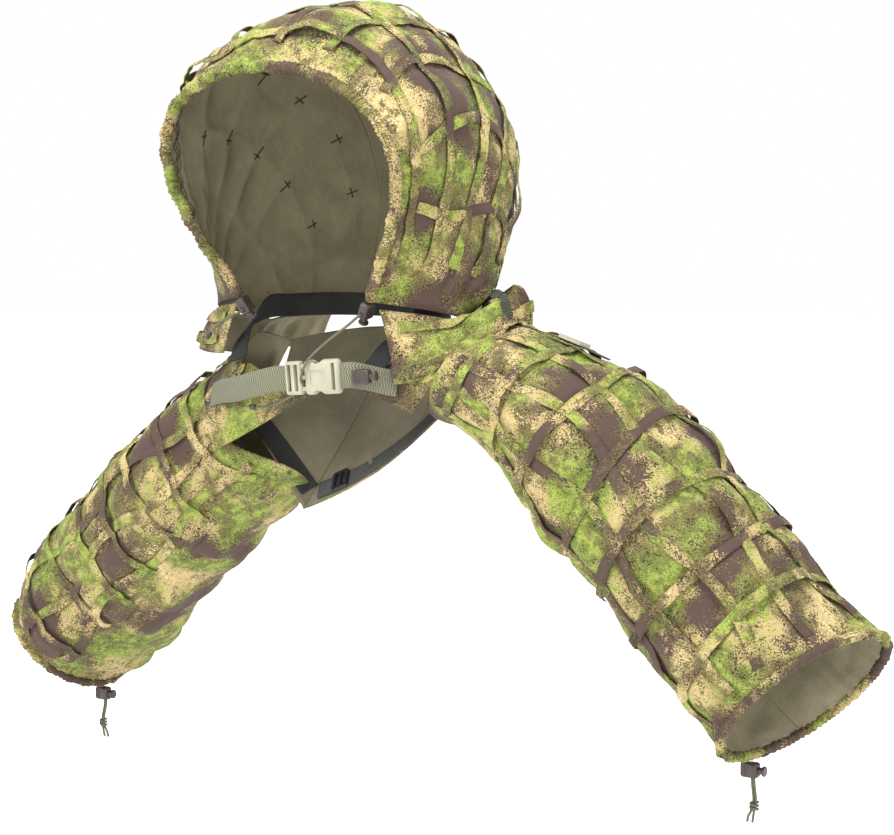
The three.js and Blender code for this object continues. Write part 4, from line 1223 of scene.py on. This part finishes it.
def chest_strap(name, points, sewn_normal, sewn_first):
    line = through(points)
    t = np.linspace(0, 1, 60)
    turn = np.clip((t if sewn_first else 1 - t) / SEWN_SHARE, 0, 1)[:, None]
    facing = sewn_normal * (1 - turn) + AHEAD * turn
    strap = band(name, line.along(t), facing, CHEST_WIDE, WEBBING_THICK, olive_webbing)
    return strap


strap_right = chest_strap("webbing_chest_right", [
    right_end, right_end + mm(22, -12, 6), mm(-62, -90, -67), along_buckle(-38.7), along_buckle(-20.0),
], right_normal, True)
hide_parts("chest_strap_right")
tuple(along_buckle(-26))
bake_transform(strap_right)
strap_left = chest_strap("webbing_chest_left", [
    along_buckle(38.5), along_buckle(56.7), left_end,
], left_normal, False)
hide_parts("chest_strap_left")
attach(strap_left, "yoke")

nape = through([
    mm(-85, -62, -41), mm(-92, -38, -14), mm(-95, 0, 8), mm(-94, 44, 9), mm(-68, 92, 9), mm(0, 113, 8),
    mm(68, 92, 9), mm(94, 44, 9), mm(95, 0, 8), mm(92, -38, -14), mm(85, -62, -41),
])
nape_t = np.linspace(0, 1, 160)
nape_facing = np.stack([
    np.cos(math.pi * (nape_t + 0.5)) * 1.1, -np.cos(2 * math.pi * nape_t) * 0.9, 0 * nape_t,
], -1)
nape_band = band("webbing_nape", nape.along(nape_t), nape_facing, NAPE_WIDE, WEBBING_THICK, black_cloth)
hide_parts("nape_webbing")
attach(nape_band, "yoke")

for side, sign in (("left", 1), ("right", -1)):
    us = sign * np.linspace(0.97, 0.06, 60)
    edge_normal = normals(back_surface, us, EDGE_MIDDLE + 0 * us)
    look = dark_elastic if side == "left" else black_cloth
    line = back_surface(us, EDGE_MIDDLE) - edge_normal * EDGE_OFFSET
    edge_band = band(f"webbing_back_edge_{side}", line, edge_normal, TAB_WIDE, EDGE_THICK, look)
    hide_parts(f"back_edge_webbing_{side}")
    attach(edge_band, "yoke")

sleeve_v = np.linspace(0.05, 0.24, 40)
sleeve_u = TAB_U + 0 * sleeve_v
tab_normal = normals(SLEEVES["left"], sleeve_u, sleeve_v)
tab_line = SLEEVES["left"](sleeve_u, sleeve_v) + tab_normal * TAB_OFF_SLEEVE
sleeve_tab = band("webbing_sleeve_left", tab_line, tab_normal, TAB_WIDE, WEBBING_THICK, tab_webbing)
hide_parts("sleeve_webbing_left")
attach(sleeve_tab, "sleeve_left")

skirt_v = np.linspace(0.85, 1.75, 40)
skirt_u = 0.47 + 0 * skirt_v
skirt_normal = normals(SKIRTS["left"], skirt_u, skirt_v)
skirt_line = SKIRTS["left"](skirt_u, skirt_v) + skirt_normal * TAB_OFF_SKIRT
skirt_tab = band("webbing_skirt_tab_left", skirt_line, skirt_normal, TAB_WIDE, WEBBING_THICK, tab_webbing)
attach(skirt_tab, "hood")
print("webbing done")

# %% [markdown]
# ## Side-release buckle
# The buckle is moulded plastic. Each half starts as a cube at its true size, gets rounded by a bevel and
# then its recesses are cut: the finger scallops at the sides of the socket half and the two slots of the
# plug half. The halves are made lying flat at the origin and then moved into place, with the place applied
# to the mesh.

# %% Modelling helpers
def start_cube(name, size, place=(0, 0, 0)):
    bpy.ops.object.select_all(action="DESELECT")
    bpy.ops.mesh.primitive_cube_add(size=1, location=place)
    made = bpy.context.object
    made.name = name
    made.scale = size
    bpy.ops.object.transform_apply(location=True, rotation=True, scale=True)
    return made


def start_cylinder(name, radius, depth, place=(0, 0, 0), turn=(0, 0, 0), sides=32):
    bpy.ops.object.select_all(action="DESELECT")
    bpy.ops.mesh.primitive_cylinder_add(vertices=sides, radius=radius, depth=depth, location=place,
                                        rotation=turn)
    made = bpy.context.object
    made.name = name
    bpy.ops.object.transform_apply(location=True, rotation=True, scale=True)
    return made


def modifier(made, kind, **settings):
    """Adds a modifier, sets it and applies it."""
    added = made.modifiers.new(kind.lower(), kind)
    for key, value in settings.items():
        setattr(added, key, value)
    bpy.ops.object.select_all(action="DESELECT")
    made.select_set(True)
    bpy.context.view_layer.objects.active = made
    bpy.ops.object.modifier_apply(modifier=added.name)


def bevel(made, width, segments=3, angle=35):
    modifier(made, "BEVEL", width=width, segments=segments, limit_method="ANGLE",
             angle_limit=math.radians(angle))


def boolean(made, tool, operation="DIFFERENCE"):
    modifier(made, "BOOLEAN", object=tool, operation=operation, solver="EXACT")
    bpy.data.objects.remove(tool)


def settle(made, matrix, look, smooth_angle=38):
    """Gives a finished piece its material and its place, which is applied to the mesh."""
    made.data.materials.clear()
    made.data.materials.append(look)
    made.data.transform(matrix)
    bpy.ops.object.select_all(action="DESELECT")
    made.select_set(True)
    bpy.context.view_layer.objects.active = made
    bpy.ops.object.shade_smooth_by_angle(angle=math.radians(smooth_angle))
    return made


print("modelling helpers ready")

# %% Buckle halves
PLATE = 0.010
BUCKLE_WIDE = 0.034


def buckle_socket():
    body = start_cube("buckle_socket_half", (0.042, PLATE, BUCKLE_WIDE), (0.021, 0, 0))
    bevel(body, 0.0042, 5, 60)
    for way in (1, -1):
        scallop = start_cylinder("scallop", 0.0085, 0.03, (0.0165, 0, way * 0.0215), (math.pi / 2, 0, 0), 40)
        boolean(body, scallop)
    boolean(body, start_cube("prong_room", (0.031, 0.0058, 0.028), (0.0145, 0, 0)))
    boolean(body, start_cube("webbing_slot", (0.004, 0.02, 0.026), (0.036, 0, 0)))
    for way in (1, -1):
        boolean(body, start_cube("thumb_step", (0.017, 0.0022, 0.014), (0.0165, way * PLATE / 2, 0)))
    bevel(body, 0.0006, 2)
    return body


def buckle_plug():
    frame_part = start_cube("buckle_plug_half", (0.020, 0.008, 0.033), (-0.014, 0, 0))
    bevel(frame_part, 0.0028, 4, 60)
    for place in (-0.0184, -0.0100):
        boolean(frame_part, start_cube("slot", (0.0042, 0.02, 0.026), (place, 0, 0)))
    for way in (1, -1):
        boolean(frame_part, start_cube("arm", (0.030, 0.0044, 0.004), (0.009, 0, way * 0.011)), "UNION")
        boolean(frame_part, start_cube("head", (0.009, 0.0044, 0.006), (0.017, 0, way * 0.0106)), "UNION")
    boolean(frame_part, start_cube("guide", (0.022, 0.0034, 0.004), (0.007, 0, 0)), "UNION")
    bevel(frame_part, 0.0006, 2)
    return frame_part


socket_half = settle(buckle_socket(), BUCKLE_TURN, khaki_plastic)
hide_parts("buckle_female")
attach(socket_half, "yoke")
plug_half = settle(buckle_plug(), BUCKLE_TURN, khaki_plastic)
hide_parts("buckle_male")
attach(plug_half, "buckle_plug")
print("buckle faces", len(socket_half.data.polygons), len(plug_half.data.polygons))

# %% [markdown]
# ## Cord locks
# A cord lock is a small housing with a sprung plunger through it. The cord passes through both, and the
# spring clamps it. The housing is a rounded block with grip ridges, the plunger a stem with a round cap.

# %% Cord locks
LOCK_HEIGHT = 0.018
LOCK_WIDE = 0.015
LOCK_DEEP = 0.011
LOCK_PLACES = {
    "face_right": ((-0.07935, -0.06260, 0.02174), (0.46953, 0.28534, -0.83554), (0, -1, 0)),
    "face_left": ((0.07935, -0.06260, 0.02174), (-0.46953, 0.28534, -0.83554), (0, -1, 0)),
    "chest": ((0.088, -0.1006, -0.048), (1, 0.25, 0.1), (0, 0, 1)),
    "cuff_left": ((0.42403, 0.06181, -0.41481), (1, 0, 0), (0, 0, -1)),
    "cuff_right": ((-0.41588, 0.08606, -0.45012), (1, 0, 0), (0, 0, -1)),
}


def lock_matrix(place, plunger, cord):
    z = Vector(plunger).normalized()
    y = z.cross(Vector(cord)).normalized()
    x = y.cross(z)
    turn = Matrix((x, y, z)).transposed().to_4x4()
    return Matrix.Translation(Vector(place)) @ turn


def lock_housing(name):
    body = start_cube(name, (LOCK_WIDE, LOCK_DEEP, LOCK_HEIGHT), (0, 0, LOCK_HEIGHT / 2))
    bevel(body, 0.0030, 4, 60)
    for height in (0.0035, 0.006, 0.0085):
        for way in (1, -1):
            boolean(body, start_cube("groove", (0.011, 0.0009, 0.0011), (0, way * LOCK_DEEP / 2, height)))
    boolean(body, start_cylinder("bore", 0.0036, 0.02, (0, 0, 0.013)))
    boolean(body, start_cylinder("cord_hole", 0.0020, 0.03, (0, 0, 0.012), (0, math.pi / 2, 0), 20))
    bevel(body, 0.0004, 2)
    return body


def lock_plunger(name):
    stem = start_cylinder(name, 0.0033, 0.0146, (0, 0, 0.0153))
    cap = start_cylinder("cap", 0.0051, 0.0026, (0, 0, 0.02365))
    bevel(cap, 0.0009, 3)
    boolean(stem, cap, "UNION")
    boolean(stem, start_cylinder("cord_hole", 0.0016, 0.02, (0, 0, 0.014), (0, math.pi / 2, 0), 20))
    return stem


for name, (place, plunger, cord) in LOCK_PLACES.items():
    matrix = lock_matrix(place, plunger, cord)
    housing = settle(lock_housing(f"lock_housing_{name}"), matrix, brown_plastic)
    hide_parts(f"cord_lock_{name}")
    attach(housing, f"lock_{name}")
    press = settle(lock_plunger(f"lock_button_{name}"), matrix, brown_plastic)
    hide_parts(f"lock_plunger_{name}")
    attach(press, f"plunger_{name}")
    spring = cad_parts[f"lock_spring_{name}"]
    spring.data.materials.clear()
    spring.data.materials.append(steel)
print("cord locks done")

# %% [markdown]
# ## Adjusters
# The ladder lock on the sleeve and the slide on the back edge are flat frames with two slots. Their CAD
# solids have the right form, so they keep it and only get rounded edges and a finish.

# %% Adjusters
for node, look in (("sleeve_ladder_lock_left", khaki_plastic), ("back_webbing_slide", black_plastic)):
    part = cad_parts[node]
    part.data.materials.clear()
    part.data.materials.append(look)
    rounding = part.modifiers.new("edges", "BEVEL")
    rounding.width = 0.0006
    rounding.segments = 2
    rounding.limit_method = "ANGLE"
    rounding.angle_limit = math.radians(40)

# %% [markdown]
# ## Cords
# The drawcord of the face hem leaves one long tail, which crosses the chest, dips between the halves of the
# buckle and ends in a toggle behind the chest strap, and one short stiff tail with a ball. Each cuff has
# two short tails that hang from their lock and are tied together in an overhand knot.

# %% Cords
CORD = 0.0026
FACE_TAIL_LEFT = [
    (72.6, -66.15, 9.8), (71, -71.5, 7), (67, -77, 1.5), (60, -84, -6), (51, -91, -15), (42, -97, -24.5),
    (35, -101.7, -33.5), (31, -103.9, -42), (28.6, -104, -49.5), (27.2, -102.2, -54.6), (26.6, -97.6, -57),
    (26.5, -92, -57.6), (25.6, -87.8, -59), (20.5, -85.2, -62), (11, -84.6, -66.5), (0, -84.8, -72),
    (-10, -85.2, -77), (-20, -86, -81), (-31, -86, -83.5), (-42, -85, -84.5),
]
FACE_TAIL_RIGHT = [
    (-72.6, -65.9, 9.9), (-73.5, -72, 7.5), (-78, -78, 4.5), (-84, -83, 0.5), (-89.5, -87.5, -5),
    (-93.5, -91, -11),
]
CUFF_TAIL = [
    (0, 0, 0), (0.5, 0, -6), (1.5, -0.5, -12), (2.5, -1, -18), (2.6, -1.5, -24), (1.4, -2, -30),
    (-0.8, -2, -36), (-2, -1.5, -42),
]
CUFF_EXITS = {"left": (436.0, 61.8, -423.0), "right": (-403.9, 86.1, -458.3)}


def cord_curve(name, points, diameter, look):
    """Open curve of a round cord through points in metres; returns it and its length."""
    line = through(points, 40)
    picked = line.along(np.linspace(0, 1, max(24, 4 * len(points))))
    data = bpy.data.curves.new(name, "CURVE")
    data.dimensions = "3D"
    data.bevel_depth = diameter / 2
    data.bevel_resolution = 3
    data.use_fill_caps = True
    spline = data.splines.new("POLY")
    spline.points.add(len(picked) - 1)
    for point, place in zip(spline.points, picked):
        point.co = (*place, 1)
    data.materials.append(look)
    made = bpy.data.objects.new(name, data)
    bpy.context.collection.objects.link(made)
    return made, float(line.length)


toggle_nodes = {"left": "cord_toggle_left", "right": "cord_ball_right"}
tails = {"left": (FACE_TAIL_LEFT, "yoke"), "right": (FACE_TAIL_RIGHT, "hood")}
for side, (route, body) in tails.items():
    tail, length = cord_curve(f"cord_face_{side}", [mm(*p) for p in route], CORD, cord_cloth)
    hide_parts(f"face_cord_tail_{side}")
    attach(tail, body)
    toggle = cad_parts[toggle_nodes[side]]
    toggle.data.materials.clear()
    toggle.data.materials.append(brown_plastic)
    "medium" if side == "right" else "limp"
    print("face cord", side, round(length, 4), "m")

STRAND = 0.0024
for side, exit_place in CUFF_EXITS.items():
    sign = SIDES[side]["sign"]
    for strand, shift in (("a", -1.3), ("b", 1.3)):
        route = []
        for i, (x, y, z) in enumerate(CUFF_TAIL):
            spread = shift * (1 + 0.16 * i * (1 if i > 5 else 0))
            route.append(mm(exit_place[0] + sign * x + spread, exit_place[1] + y, exit_place[2] + z))
        tail, length = cord_curve(f"cord_cuff_{side}_{strand}", route, STRAND, cord_cloth)
        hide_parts(f"cuff_cord_tail_{side}")
        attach(tail, f"sleeve_{side}")
    knot_middle = mm(exit_place[0] + sign * 2.4, exit_place[1] - 1.6, exit_place[2] - 26)
    turns = np.linspace(0, 2 * math.pi * 2.5, 90)
    wrap = np.stack([np.cos(turns) * 0.0036, np.sin(turns) * 0.0034, 0.0042 - turns * 0.00054], -1)
    knot = tube(f"cord_knot_{side}", knot_middle + wrap, 0.0013, cord_cloth, 10)
    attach(knot, f"sleeve_{side}")
print("cords done")
